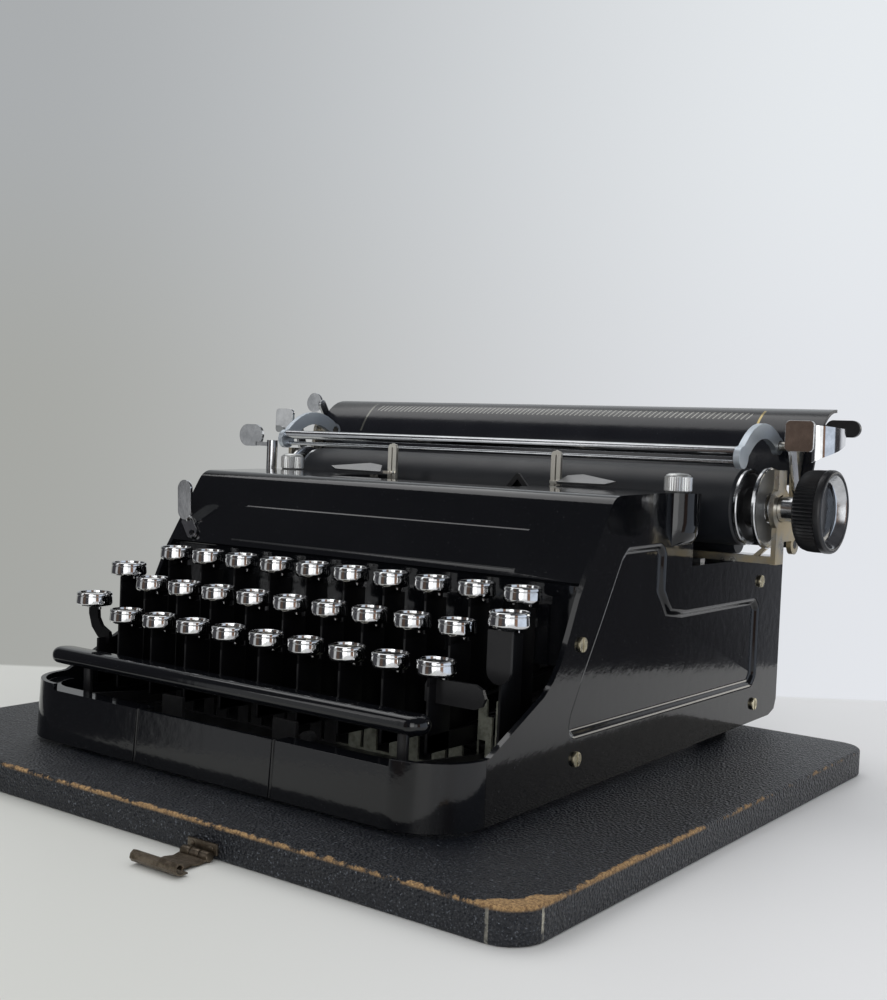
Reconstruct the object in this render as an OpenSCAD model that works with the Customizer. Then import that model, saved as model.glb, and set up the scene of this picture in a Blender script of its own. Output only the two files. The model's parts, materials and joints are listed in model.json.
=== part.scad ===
/* [Case board] */
// Width of the case board
board_w = 299; // [270:1:340]
// Depth of the case board
board_d = 266; // [250:1:300]
// Thickness of the case board
board_t = 11; // [8:0.5:16]
// Radius of the board's corners
board_corner = 12; // [4:1:20]
// How far the board reaches in front of the machine
board_front = 28; // [20:1:40]
// Distance of the latch from the middle, to the right
latch_x = 33; // [-60:1:80]
// Width of the latch hasp
latch_w = 20; // [16:1:40]
// Reach of the open hasp in front of the board
latch_reach = 20; // [12:1:30]

/* [Body] */
// Width over the side panels
body_w = 206; // [204:1:230]
// Thickness of the pressed sheet
sheet = 2; // [1.5:0.1:2.4]
// Height of the feet under the machine
foot_h = 1.6; // [1.2:0.1:4]
// Height of the low front wall above the board
rim_h = 20.5; // [18:0.5:22]
// Radius of the front corners in plan
front_corner = 22; // [14:1:26]
// Height of the carriage deck above the board
deck_z = 75.5; // [74:0.5:75.5]
// Height of the hood's top above the board
hood_z = 104; // [103:0.5:106]
// Depth of the pressed fields and lines in the panels
press_depth = 0.8; // [0.4:0.1:1]
// Width of the sloping border round the side panels' pressed field
border_w = 5; // [3:0.5:6]
// Width of the centre plate on the front wall
plate_w = 66; // [50:1:80]

/* [Keyboard] */
// Distance between keys in a row
key_pitch = 19.05; // [17.5:0.05:19.3]
// Sideways shift from row to row
row_shift = 3.36; // [3:0.02:3.6]
// Distance between rows, front to back
row_step = 15.5; // [15:0.1:17]
// Height step between rows
row_rise = 11.5; // [10:0.1:12]
// Radius of a key cup
key_r = 6.75; // [6:0.05:6.8]
// Height of a key cup
cup_h = 5.4; // [4:0.1:6]
// Radius of a side key's cup
side_key_r = 7.2; // [6.5:0.1:7.4]
// Thickness of stems and levers
lever_t = 1.2; // [0.8:0.1:1.4]
// Length of the space bar
bar_l = 181; // [150:1:184]
// Depth of the space bar
bar_d = 11; // [9:0.5:12]
// Thickness of the space bar
bar_t = 6; // [5:0.5:7]

/* [Carriage] */
// Radius of the platen
platen_r = 15.5; // [14:0.1:15.8]
// Length of the platen's rubber
platen_l = 221; // [215:1:226]
// Radius of the platen knob
knob_r = 16; // [13:0.1:16.5]
// Length of the platen knob
knob_l = 12.5; // [10:0.5:20]
// Distance between the outer faces of the end plates
frame_w = 258.4; // [254:0.2:262]
// Width of the paper table
table_w = 267; // [262:1:280]
// Radius of the bail rod
bail_r = 2; // [1.5:0.1:2.4]
// Number of grip ribs round the knob
rib_count = 44; // [24:1:56]

/* [Hidden] */
$fn = 48;
// Running gap round shafts and beside sliding parts
gap = 0.3;
// Half width of the body and the inner faces of its sides
half_w = body_w / 2;
inner_w = half_w - sheet;
// Front and rear faces of the machine, measured from the origin
front_y = -101;
rear_y = 150;
board_y0 = front_y - board_front;
board_y1 = board_y0 + board_d;
board_corner_y = board_y1 - board_corner;
latch_y = board_y0 - latch_reach - 1;
// Fixed plate, hinge and sheet of the latch
latch_plate_t = 1;
hinge_r = 1.6;
hasp_t = 1.4;
// Shift that puts the middle of the whole length over the origin
off_y = -(rear_y + latch_y) / 2;
// Outline of the side, as points of depth and height
rim_side_z = 22.8;
side_front_y = front_y + front_corner;
rim_w = 8;
hood_back_y = 57;
slope_top = [-9.5, hood_z - 6.5];
slope_low = [-27.5, 68.5];
slope_run = slope_low - slope_top;
slope_angle = atan2(-slope_run[1], -slope_run[0]);
// Rounded crest between the slope and the top: its corner, and the curve that cuts it
crest_drop = 0.7;
crest_cut = 5;
crest = slope_top - slope_run * (hood_z - crest_drop - slope_top[1]) / (slope_top[1] - slope_low[1]);
crest_low = crest + slope_run * crest_cut / norm(slope_run);
crest_high = crest + [crest_cut, 0];
crest_steps = 6;
crest_curve = [for (i = [0:crest_steps]) bezier(crest_high, crest, crest_low, i / crest_steps)];
side_outline = concat(
    [[side_front_y, foot_h], [rear_y - 8, foot_h + 3.5], [rear_y - 2, foot_h + 5.5]],
    [[rear_y, foot_h + 10], [rear_y, deck_z], [hood_back_y + 1, deck_z]],
    [[hood_back_y + 1, hood_z], [28, hood_z]],
    crest_curve,
    [slope_low],
    [[-32.7, 57], [-37, 48.5], [-41.5, 42.5], [-47, 38], [-77, 23], [side_front_y, rim_side_z]]
);
// Pressed border of the side, as points of depth and height
border_outline = [
    [-33, 20], [122, 19.2], [127, 24], [127, 55], [122, 59.5], [55, 59.5],
    [43, 61], [37, 68], [37, 82], [33, 86.5], [6, 86], [1, 82],
    [-12.7, 59.7], [-24, 42], [-31, 30]
];
// Bosses and thumb nuts at the rear of the hood
boss_r = 9;
boss_h = 20;
boss_proud = 6.3;
boss_x = half_w - boss_r + boss_proud;
boss_y = hood_back_y - boss_r;
nut_r = 5.4;
nut_h = 7.5;
// Side screws, as points of depth and height
side_screws_at = [[-25, 53], [-25.7, 14], [125.5, 65.5], [124, 12.5]];
side_screw_r = 2.6;
side_screw_h = 1.1;
// Hood
hood_foot_z = 73.5;
hood_foot = slope_top + slope_run * (slope_top[1] - hood_foot_z) / (slope_top[1] - slope_low[1]);
hood_apron_y = -23;
hood_apron_z = 44;
panel_w = 148;
panel_top = 8.8;
panel_h = 18;
panel_line = 1.4;
basket_w = 96;
basket_y0 = 12;
// Keyboard rows, front to back positions and heights of the key tops
row_y = [for (k = [0:2]) -35.9 - row_step * k];
row_z = [for (k = [0:2]) 71.8 - row_rise * k];
row_x = [for (k = [0:2]) -4.5 * key_pitch + row_shift * k];
side_lift = 4.8;
stem_front = 4;
stem_back = 8;
lever_h = 6;
lever_z = 18;
pivot_y = 110;
pivot_z = 34;
pivot_r = 1.5;
dish_depth = 0.7;
glass_r_share = 0.84;
lock_x = row_x[2] - key_pitch - 1;
left_lever_x = -97;
lock_lever_x = -91.5;
right_lever_x = 91;
// Space bar
bar_x = -4.5;
bar_y = -87;
bar_z = 28.5;
post_x = 76.5;
post_w = 3.8;
post_foot_z = 13;
bar_pivot_y = -20;
bar_pivot_z = 9.8;
bar_pivot_r = 1.5;
// Base pan
pan_z = foot_h + 3.6;
pan_t = 1.5;
pan_top = pan_z + pan_t;
pan_rear_y = 128;
lug_t = 3;
// Comb plate between the stems of the first two rows
comb_y = -43.5;
comb_t = 1;
comb_base_z = pan_top + 0.7;
comb_z = 33;
comb_step = 6;
comb_clear = 0.8;
comb_slot = 1.5;
// Upright lugs behind the front wall
front_lug_y = -75;
front_lug_w = 11;
// Carriage
axis_y = 80;
axis_z = 99;
shaft_r = 5;
plate_t = 2;
frame_x = frame_w / 2;
leg_half = 4;
rail_h = 1.4;
bar_bottom = deck_z + rail_h + gap;
bar_height = 2.8;
rear_bar_y = 112;
rear_bar_z = 86;
rear_bar_size = 4;
feed_y = 95.5;
feed_z = 84.5;
feed_r = norm([feed_y - axis_y, feed_z - axis_z]) - platen_r - gap;
feed_shaft_r = 1.5;
release_y = 106;
release_z = 93;
release_r = 1.5;
bail_pivot = [98, 123.5];
bail_at = [62, 120.5];
bail_pin_r = 1.8;
bail_low = [63.6, 116.3];
bail_low_r = 0.9;
bail_eye = (bail_at + bail_low) / 2;
bail_arch = [79, 137];
arm_x = 117.4;
arm_t = 2.6;
knob_x0 = frame_x + 8.8;
flange_r = 14;
ratchet_r = 16;
table_x = table_w / 2;
table_t = 1.4;
table_foot = [98.4, 108];
table_bend = [106, 139];
table_lip = [124, 139];
// Line-space lever
line_x = -(frame_x + 6.5);
line_y = 71;
line_post_r = 2.8;
line_pin_r = 1.2;
line_pin_h = 9;
line_z0 = 98;
line_reach = 21.4;
// Release tabs
tab_w = 11.5;
tab_h = 12;
tab_y = 80;
tab_z = 121.5;
// Paper release shaft behind the table
paper_y = 114;
paper_z = 125;
paper_r = 1.5;
// Ribbon lever on the hood's slope, measured down from the top of the slope
stud_x = -90;
stud_s = 25;
stud_r = 1;
// Ribbon spools
spool_x = 74;
spool_y = 30;
spool_r = 19;
spool_z = 84;
spool_h = 14;
spindle_r = 2;

key_nodes = concat(
    [for (i = [0:9]) str("key_a", i + 1)],
    [for (i = [0:8]) str("key_b", i + 1)],
    [for (i = [0:8]) str("key_c", i + 1)]
);
other_nodes = [
    "left_shift_key", "right_shift_key", "shift_lock_key", "space_bar", "case_board", "latch_hasp", "feet",
    "base_pan", "front_rail", "side_panel_left", "side_panel_right", "hood", "rear_deck", "side_screws",
    "hood_nuts", "lever_guides", "type_basket", "ribbon_spool_left", "ribbon_spool_right", "ribbon_lever",
    "carriage_frame", "carriage_rails", "platen", "platen_knob", "paper_table", "paper_bail",
    "line_space_lever", "carriage_release", "paper_release", "paper_release_leaf", "feed_roller", "drive_unit"
];

// Stands its children on the board, with the whole length centred
module on_board() {
    translate([0, off_y, board_t]) children();
}

// Plate across the width: a drawing of depth and height, from x to x + thick
module side_plate(x, thick) {
    translate([x, 0, 0]) rotate([90, 0, 90]) linear_extrude(height = thick) children();
}

// Round bar along the width
module cross_bar(x0, x1, y, z, r) {
    translate([x0, y, z]) rotate([0, 90, 0]) cylinder(h = x1 - x0, r = r);
}

module cube_between(a, b) {
    translate(a) cube(b - a);
}

module rounded_plate(w, d, h, r) {
    linear_extrude(height = h) translate([r, r]) offset(r = r) square([w - 2 * r, d - 2 * r]);
}

module both_sides() {
    children();
    mirror([1, 0, 0]) children();
}

// Point of a curve from a to c that leaves and arrives towards b
function bezier(a, b, c, s) = (1 - s) * (1 - s) * a + 2 * s * (1 - s) * b + s * s * c;

// The same point, moved sideways by d
function beside(a, b, c, s, d) =
    let(run = (1 - s) * (b - a) + s * (c - b))
    bezier(a, b, c, s) + [-run[1], run[0]] * d / norm(run);

// A bar of even width along such a curve
module curved_bar(a, b, c, w) {
    steps = 10;
    polygon(concat(
        [for (i = [0:steps]) beside(a, b, c, i / steps, w / 2)],
        [for (i = [steps:-1:0]) beside(a, b, c, i / steps, -w / 2)]
    ));
}

// A flat bar of even width through a list of points
module strip(points, w) {
    for (i = [0:len(points) - 2]) {
        run = points[i + 1] - points[i];
        translate(points[i]) rotate(atan2(run[1], run[0])) translate([0, -w / 2]) square([norm(run), w]);
    }
    for (p = points) translate(p) circle(d = w + 0.04);
}

module case_board() {
    color("#26272b") {
        translate([-board_w / 2, board_y0 + off_y, 0]) rounded_plate(board_w, board_d, board_t, board_corner);
        translate([latch_x - latch_w / 2, board_y0 + off_y - latch_plate_t, hinge_r])
            cube([latch_w, latch_plate_t, board_t - hinge_r - hasp_t]);
    }
}

module latch_hasp() {
    shoulder = 4;
    neck_w = latch_w - 2 * shoulder;
    hinge_y = -latch_plate_t - hinge_r - gap;
    color("#7d7360") translate([latch_x, board_y0 + off_y, 0]) {
        translate([0, hinge_y, hinge_r]) rotate([0, 90, 0]) cylinder(h = neck_w, r = hinge_r, center = true);
        translate([-neck_w / 2, -latch_reach, 0]) cube([neck_w, latch_reach + hinge_y + 0.1, hasp_t]);
        translate([-latch_w / 2, -latch_reach - 1, 0]) cube([latch_w, shoulder + 1, hasp_t]);
        translate([-latch_w / 2, -latch_reach - 1, 0]) cube([latch_w, hasp_t, 3 * hasp_t + 0.3]);
    }
}

module feet() {
    color("#151515") on_board() both_sides() {
        translate([half_w - 14, side_front_y + 6, 0]) cylinder(h = pan_z, r = 7);
        translate([half_w - 14, board_corner_y - 12, 0]) cylinder(h = pan_z, r = 7);
    }
}

module base_pan() {
    color("#202124") on_board() difference() {
        union() {
            cube_between([-inner_w, side_front_y, pan_z], [inner_w, pan_rear_y, pan_top]);
            cube_between([-half_w + front_corner, front_y + sheet, pan_z],
                [half_w - front_corner, side_front_y, pan_top]);
            for (x = [-post_x + 1.5, post_x + 1.5])
                cube_between([x, bar_pivot_y - 4, pan_top], [x + lug_t, bar_pivot_y + 4, bar_pivot_z + 4]);
        }
        cross_bar(-half_w, half_w, bar_pivot_y, bar_pivot_z, bar_pivot_r + gap);
    }
}

module rail_outline(inset) {
    offset(r = front_corner - inset) offset(delta = -front_corner)
        translate([-half_w, front_y]) square([body_w, 2 * front_corner + 20]);
}

module front_rail() {
    color("#0c0c0e") on_board() difference() {
        union() {
            translate([0, 0, foot_h]) linear_extrude(height = rim_side_z - foot_h) difference() {
                rail_outline(0);
                rail_outline(sheet);
                translate([-half_w - 1, side_front_y]) square([body_w + 2, 60]);
            }
            translate([0, 0, rim_h - sheet]) linear_extrude(height = sheet) difference() {
                rail_outline(sheet / 2);
                rail_outline(rim_w);
                translate([-half_w - 1, side_front_y]) square([body_w + 2, 60]);
                translate([-plate_w / 2, front_y + sheet]) square([plate_w, 60]);
            }
        }
        cube_between([-half_w + front_corner, front_y - 1, rim_h], [half_w - front_corner, 0, rim_h + 10]);
        both_sides() translate([plate_w / 2, front_y, 0]) cylinder(h = 60, r = press_depth);
    }
}

// The pressed field ends in the middle of its sloping border
module pressed_field() {
    offset(r = 3) offset(delta = -3 - border_w / 2) polygon(border_outline);
}

module side_panel() {
    difference() {
        union() {
            side_plate(inner_w, sheet) polygon(side_outline);
            translate([boss_x, boss_y, hood_z - boss_h]) cylinder(h = boss_h, r = boss_r);
        }
        cube_between([inner_w - 30, -60, 0], [inner_w, rear_y, hood_z + 9]);
        side_plate(half_w - press_depth, 2) pressed_field();
    }
    cube_between([spool_x - 6, spool_y - 6, spool_z - sheet - gap], [inner_w, spool_y + 6, spool_z - gap]);
    translate([spool_x, spool_y, spool_z - gap - 0.5]) cylinder(h = spool_h, r = spindle_r);
}

module side_panel_right() {
    color("#0c0c0e") on_board() side_panel();
}

module side_panel_left() {
    color("#0c0c0e") on_board() mirror([1, 0, 0]) side_panel();
}

module hood_section() {
    back = hood_back_y;
    under = hood_z - sheet;
    inward = [1.9, -1.4];
    polygon(concat(
        [[back, hood_z], [28, hood_z]],
        crest_curve,
        [hood_foot, [hood_apron_y, hood_foot_z - 1.5], [hood_apron_y, hood_apron_z]],
        [[hood_apron_y + sheet, hood_apron_z], hood_foot + inward, crest_low + inward],
        [crest_high - [0, sheet], [28, under], [back - sheet, under], [back - sheet, deck_z], [back, deck_z]]
    ));
}

module on_slope() {
    translate([0, slope_top[0], slope_top[1]]) rotate([slope_angle, 0, 0]) children();
}

module hood() {
    color("#0c0c0e") on_board() {
        difference() {
            side_plate(-inner_w, 2 * inner_w) hood_section();
            for (low = [[basket_y0, hood_z - sheet - 1], [hood_back_y - 5, deck_z - 1]])
                translate([-basket_w / 2, low[0], low[1]])
                    cube([basket_w, hood_back_y + 1 - low[0], hood_z + 5 - low[1]]);
            on_slope() translate([0, -panel_top - panel_h / 2, -press_depth]) linear_extrude(height = 3)
                difference() {
                    offset(r = 4) square([panel_w - 8, panel_h - 8], center = true);
                    offset(r = 4 - panel_line) square([panel_w - 8, panel_h - 8], center = true);
                }
        }
        on_slope() translate([stud_x, -stud_s, -0.5]) cylinder(h = 2.6, r = stud_r);
    }
}

module rear_deck() {
    color("#0c0c0e") on_board() difference() {
        union() {
            cube_between([-inner_w, hood_back_y + 1, deck_z - sheet], [inner_w, rear_y, deck_z]);
            cube_between([-inner_w, rear_y - sheet, foot_h + 4], [inner_w, rear_y, deck_z]);
        }
        cube_between([-basket_w / 2, hood_back_y, deck_z - 3], [basket_w / 2, hood_back_y + 6, deck_z + 1]);
    }
}

module side_screws() {
    color("#b9a06a") on_board() both_sides() for (p = side_screws_at)
        translate([half_w, p[0], p[1]]) rotate([0, 90, 0]) difference() {
            cylinder(h = side_screw_h, r = side_screw_r);
            translate([-side_screw_r, -0.35, side_screw_h - 0.5]) cube([2 * side_screw_r, 0.7, 1]);
        }
}

module hood_nuts() {
    teeth = 30;
    color("#c9ccce") on_board() both_sides() translate([boss_x, boss_y, hood_z]) difference() {
        cylinder(h = nut_h, r = nut_r);
        for (i = [0:teeth - 1])
            rotate(i * 360 / teeth) translate([nut_r, 0, 1]) rotate(45)
                cube([0.6, 0.6, nut_h * 2], center = true);
    }
}

// Key lever in side view: a bar from the stem back to the pivot rod
module lever_shape(y) {
    difference() {
        union() {
            polygon([
                [y - stem_front, lever_z], [y - stem_front, lever_z + lever_h], [y + 30, lever_z + lever_h],
                [pivot_y, pivot_z + lever_h / 2], [pivot_y, pivot_z - lever_h / 2], [y + 30, lever_z]
            ]);
            translate([pivot_y, pivot_z]) circle(r = lever_h / 2 + 1);
        }
        translate([pivot_y, pivot_z]) circle(r = pivot_r + gap);
    }
}

module key_cup(x, y, top, r) {
    translate([x, y, top - cup_h]) difference() {
        cylinder(h = cup_h, r = r);
        translate([0, 0, cup_h - dish_depth]) cylinder(h = 2, r = r * glass_r_share);
    }
    for (s = [-1, 1]) translate([x + s * r * 0.45 - 0.8, y - 0.4, top - cup_h - 1.4]) cube([1.6, 0.8, 2]);
}

module straight_key(x, y, top, r) {
    stem_w = stem_front + stem_back;
    color("#d4d6d8") on_board() {
        key_cup(x, y, top, r);
        translate([x - lever_t / 2, y - stem_front, lever_z])
            cube([lever_t, stem_w, top - cup_h - 3 - lever_z]);
        translate([x - lever_t / 2, y - stem_front, top - cup_h - 4])
            cube([lever_t, r - 1 + stem_front, 4.5]);
        side_plate(x - lever_t / 2, lever_t) lever_shape(y);
    }
}

module row_key(row, i) {
    straight_key(row_x[row] + key_pitch * i, row_y[row], row_z[row], key_r);
}

// Side key on a stem that bends over to a lever beside it
module bent_key(x, y, top, r, lever_x) {
    foot = top - cup_h - 12;
    color("#d4d6d8") on_board() {
        key_cup(x, y, top, r);
        translate([0, y + 1, 0]) rotate([90, 0, 0]) linear_extrude(height = 1.6)
            strip([[x, top - cup_h - 0.5], [x + (lever_x - x) * 0.2, foot + 4], [lever_x, foot]], 6);
        translate([lever_x - lever_t / 2, y - stem_front, lever_z])
            cube([lever_t, stem_front + 4, foot - lever_z]);
        side_plate(lever_x - lever_t / 2, lever_t) lever_shape(y);
    }
}

// The last front key carries a rounded plate that reaches to the right
module last_front_key() {
    x = row_x[2] + key_pitch * 8;
    row_key(2, 8);
    color("#d4d6d8") on_board() translate([x, row_y[2] + 1, 38.5]) rotate([90, 0, 0])
        linear_extrude(height = 1.4) strip([[0, 0], [16, 0]], 8);
}

module left_shift_key() {
    straight_key(left_lever_x, row_y[1], row_z[1] + side_lift, side_key_r);
}

module right_shift_key() {
    straight_key(right_lever_x, row_y[1], row_z[1] + side_lift, side_key_r);
    color("#151515") on_board() translate([right_lever_x - 0.5, row_y[1] - stem_front + 0.5, 0])
        rotate([90, 0, 0]) linear_extrude(height = lever_t)
            strip([[0, 46], [0, row_z[1] + side_lift - cup_h - 4.2]], 9.4);
}

module shift_lock_key() {
    bent_key(lock_x, row_y[2], row_z[2] + side_lift, side_key_r, lock_lever_x);
}

module space_bar() {
    post_top = bar_z + 0.5;
    color("#101012") on_board() {
        translate([bar_x - bar_l / 2 + bar_d / 2, bar_y, bar_z]) linear_extrude(height = bar_t)
            strip([[0, 0], [bar_l - bar_d, 0]], bar_d);
        cross_bar(-post_x - 2, post_x + 3 + lug_t, bar_pivot_y, bar_pivot_z, bar_pivot_r);
        both_sides() {
            for (size = [[post_w, post_top - post_foot_z], [2 * post_w, 3]])
                translate([post_x - size[0] / 2, bar_y - 0.8, post_foot_z]) cube([size[0], 1.6, size[1]]);
            side_plate(post_x - lever_t / 2, lever_t)
                strip([[bar_y + 2, post_foot_z + 3], [bar_pivot_y, bar_pivot_z]], 4.4);
        }
    }
}

// Middle of the free space between key i of the front row and the lever to its right
function free_x(i) = row_x[2] + key_pitch * i + (key_pitch - row_shift) / 2;

// Two stepped teeth in the free space to the right of key i
module comb_teeth(i) {
    half = (key_pitch - row_shift - lever_t) / 2 - comb_clear;
    tooth_w = half - comb_slot / 2;
    for (x = [free_x(i) - half, free_x(i) + comb_slot / 2]) difference() {
        cube_between([x, comb_y, comb_base_z - 0.5], [x + tooth_w, comb_y + comb_t, comb_z]);
        cube_between([x + tooth_w * 0.6, comb_y - 1, comb_z - comb_step], [x + tooth_w + 1, 0, comb_z + 1]);
        both_sides() cube_between([post_x - lever_t / 2 - 1, comb_y - 1, comb_base_z],
            [post_x + lever_t / 2 + 1, 0, 19]);
    }
}

module lever_guides() {
    lug_base = front_lug_y + 1.5;
    color("#a9afa2") on_board() {
        cross_bar(-inner_w, inner_w, pivot_y, pivot_z, pivot_r);
        both_sides()
            cube_between([inner_w - lug_t, pivot_y - 5, pan_top], [inner_w, pivot_y + 5, pivot_z + 5]);
        cube_between([-inner_w, comb_y, pan_top], [inner_w, comb_y + comb_t, comb_base_z]);
        for (i = [0:8]) comb_teeth(i);
        for (i = [1, 4]) translate([free_x(i) + 4, front_lug_y, pan_top])
            cube([front_lug_w, 1.5, rim_h - pan_top]);
        translate([free_x(5) + 2, lug_base, 16]) rotate([90, 0, 0]) cylinder(h = 3, r = 2.6);
        cube_between([free_x(5) + 1, front_lug_y, pan_top], [free_x(5) + 3, lug_base, 16]);
    }
}

module typebar(angle) {
    bar_start = 26;
    bar_long = 28;
    bar_high = 4;
    slug = [6, 3, 6];
    rotate(angle) translate([bar_start, -lever_t / 2, 0]) rotate([0, 12, 0]) {
        cube([bar_long, lever_t, bar_high]);
        translate([bar_long - 1, (lever_t - slug[1]) / 2, -1]) cube(slug);
    }
}

module loop_finger() {
    rotate([90, 0, 0]) linear_extrude(height = 1.5) difference() {
        strip([[0, -10], [0, 9]], 4.6);
        strip([[0, -4], [0, 8.4]], 2.2);
    }
}

// Leaf beside a loop finger that keeps the ribbon down, tilted up at its rear
module ribbon_leaf() {
    rotate([30, 0, -8]) linear_extrude(height = 1)
        polygon([[0, -2.5], [2, 3], [9, 4.5], [28, 0.5], [24, -2]]);
}

module type_basket() {
    bars = 28;
    bridge_z = 50;
    bridge_t = 3;
    segment_z = bridge_z + bridge_t;
    segment_r = 34;
    finger_x = 43;
    finger_y = hood_back_y - 4;
    arch_x = 24.4;
    arch_z = 107;
    arch_drop = 10;
    arch_half = 6;
    color("#8d9092") on_board() {
        cube_between([-finger_x - 2, 38, bridge_z], [finger_x + 2, finger_y, segment_z]);
        for (i = [2, 6]) cube_between([free_x(i) - 4, 40, pan_top], [free_x(i), 46, bridge_z]);
        translate([0, 40, segment_z]) {
            difference() {
                cylinder(h = 8, r = segment_r);
                translate([0, 0, -1]) cylinder(h = 10, r = segment_r - 12);
                cube_between([-60, 0, -1], [60, 60, 20]);
            }
            for (i = [0:bars - 1]) typebar(192 + i * 156 / (bars - 1));
        }
        both_sides() {
            cube_between([finger_x - 1.2, finger_y - 1.5, segment_z], [finger_x + 1.2, finger_y, hood_z - 1]);
            translate([finger_x, finger_y, hood_z + 3]) loop_finger();
        }
        both_sides() {
            translate([0, finger_y - 2, hood_z + 0.6]) linear_extrude(height = 1.2)
                strip([[finger_x, 0], [finger_x + 7, -1]], 4);
            translate([finger_x + 3.5, finger_y - 3, hood_z + 1.85]) ribbon_leaf();
        }
        cube_between([arch_x - 1, finger_y - 1.2, segment_z], [arch_x + 1, finger_y, arch_z - arch_drop]);
        translate([arch_x, finger_y, arch_z]) rotate([90, 0, 0]) linear_extrude(height = 1.2)
            strip([[-arch_half, -arch_drop], [0, 0], [arch_half, -arch_drop], [-arch_half, -arch_drop]], 1.6);
    }
}

module ribbon_spool(side) {
    color("#1c1c1e") on_board() translate([side * spool_x, spool_y, spool_z]) difference() {
        union() {
            cylinder(h = 1, r = spool_r);
            cylinder(h = spool_h, r = spool_r - 3);
            translate([0, 0, spool_h - 1]) cylinder(h = 1, r = spool_r);
        }
        translate([0, 0, -1]) cylinder(h = spool_h + 2, r = spindle_r + gap);
    }
}

module ribbon_spool_left() {
    ribbon_spool(-1);
}

module ribbon_spool_right() {
    ribbon_spool(1);
}

// Swings on a stud that stands on the hood's slope
module ribbon_lever() {
    leaf_x = stud_x - 7.5;
    leaf_y = slope_top[0] - 11;
    color("#cfd2d4") on_board() {
        on_slope() translate([stud_x, -stud_s, gap]) linear_extrude(height = 1.2) difference() {
            strip([[0, 0], [-7, 6]], 5);
            circle(r = stud_r + gap);
        }
        translate([leaf_x, leaf_y, hood_z - 18]) rotate([90, 0, 0]) linear_extrude(height = 1.2)
            strip([[0, 0], [-0.5, 9]], 8);
    }
}

module end_plate_shape() {
    difference() {
        union() {
            translate([axis_y - leg_half, bar_bottom]) square([2 * leg_half, axis_z + 15 - bar_bottom]);
            translate([axis_y, axis_z]) circle(r = shaft_r + 3.5);
            translate([axis_y, rear_bar_z]) square([rear_bar_y + 3 - axis_y, 9]);
            translate([feed_y, feed_z]) circle(r = 4);
            strip([bail_pivot - [4, bail_pivot[1] - rear_bar_z - 5], bail_pivot - [3.5, 12], bail_pivot], 6);
            translate(bail_pivot) circle(r = 4);
        }
        translate([axis_y, axis_z]) circle(r = shaft_r + gap);
        translate([feed_y, feed_z]) circle(r = feed_shaft_r + gap);
        translate([release_y, release_z]) circle(r = release_r + gap);
    }
}

module carriage_frame() {
    color("#bda878") on_board() {
        both_sides() {
            side_plate(frame_x - plate_t, plate_t) end_plate_shape();
            cross_bar(arm_x, frame_x - plate_t + 0.5, bail_pivot[0], bail_pivot[1], bail_pin_r);
        }
        cube_between([-frame_x, axis_y - 2, bar_bottom], [frame_x, axis_y + 2, bar_bottom + bar_height]);
        cube_between([-frame_x, rear_bar_y - rear_bar_size / 2, rear_bar_z],
            [frame_x, rear_bar_y + rear_bar_size / 2, rear_bar_z + rear_bar_size]);
        cube_between([line_x - 4, line_y - 4, line_z0 - 3], [-frame_x, line_y + 9, line_z0]);
        translate([line_x, line_y, line_z0 - 1]) cylinder(h = line_pin_h, r = line_pin_r);
        both_sides() translate([0, axis_y + 1, bar_bottom + bar_height - 0.5]) rotate([90, 0, 0])
            linear_extrude(height = 2) strip([[frame_x - 10, 0], [frame_x - 1.2, 8]], 1.6);
    }
}

module carriage_rails() {
    color("#a8abad") on_board() {
        cube_between([-inner_w + 4, axis_y - 2, deck_z], [inner_w - 4, axis_y + 2, deck_z + rail_h]);
        cube_between([-inner_w + 4, rear_bar_y - 2, deck_z], [inner_w - 4, rear_bar_y + 2, rear_bar_z - gap]);
    }
}

module platen() {
    end_x = platen_l / 2;
    color("#1b1b1c") on_board() {
        cross_bar(-end_x, end_x, axis_y, axis_z, platen_r);
        both_sides() {
            cross_bar(end_x - 1, end_x + 2, axis_y, axis_z, flange_r);
            cross_bar(end_x, end_x + 9, axis_y, axis_z, 8);
            cross_bar(end_x + 8, end_x + 10, axis_y, axis_z, ratchet_r);
            cross_bar(end_x, frame_x, axis_y, axis_z, shaft_r);
        }
        cross_bar(end_x, knob_x0, axis_y, axis_z, shaft_r);
    }
}

module platen_knob() {
    dish_r = knob_r - 2.5;
    dish_d = 5;
    rim_l = 3.3;
    rib_l = knob_l - rim_l - 2;
    core_r = knob_r - 0.6;
    color("#141416") on_board() translate([knob_x0, axis_y, axis_z]) rotate([0, 90, 0]) difference() {
        union() {
            translate([0, 0, 1]) cylinder(h = knob_l - rim_l, r = core_r);
            cylinder(h = 2, r = knob_r - 2);
            translate([0, 0, knob_l - rim_l]) cylinder(h = rim_l, r = knob_r);
        }
        for (i = [0:rib_count - 1])
            rotate(i * 360 / rib_count) translate([core_r, 0, 1.6 + rib_l / 2]) rotate(45)
                cube([0.7, 0.7, rib_l], center = true);
        translate([0, 0, knob_l - dish_d]) cylinder(h = dish_d + 1, r1 = dish_r - 2, r2 = dish_r);
    }
}

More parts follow.
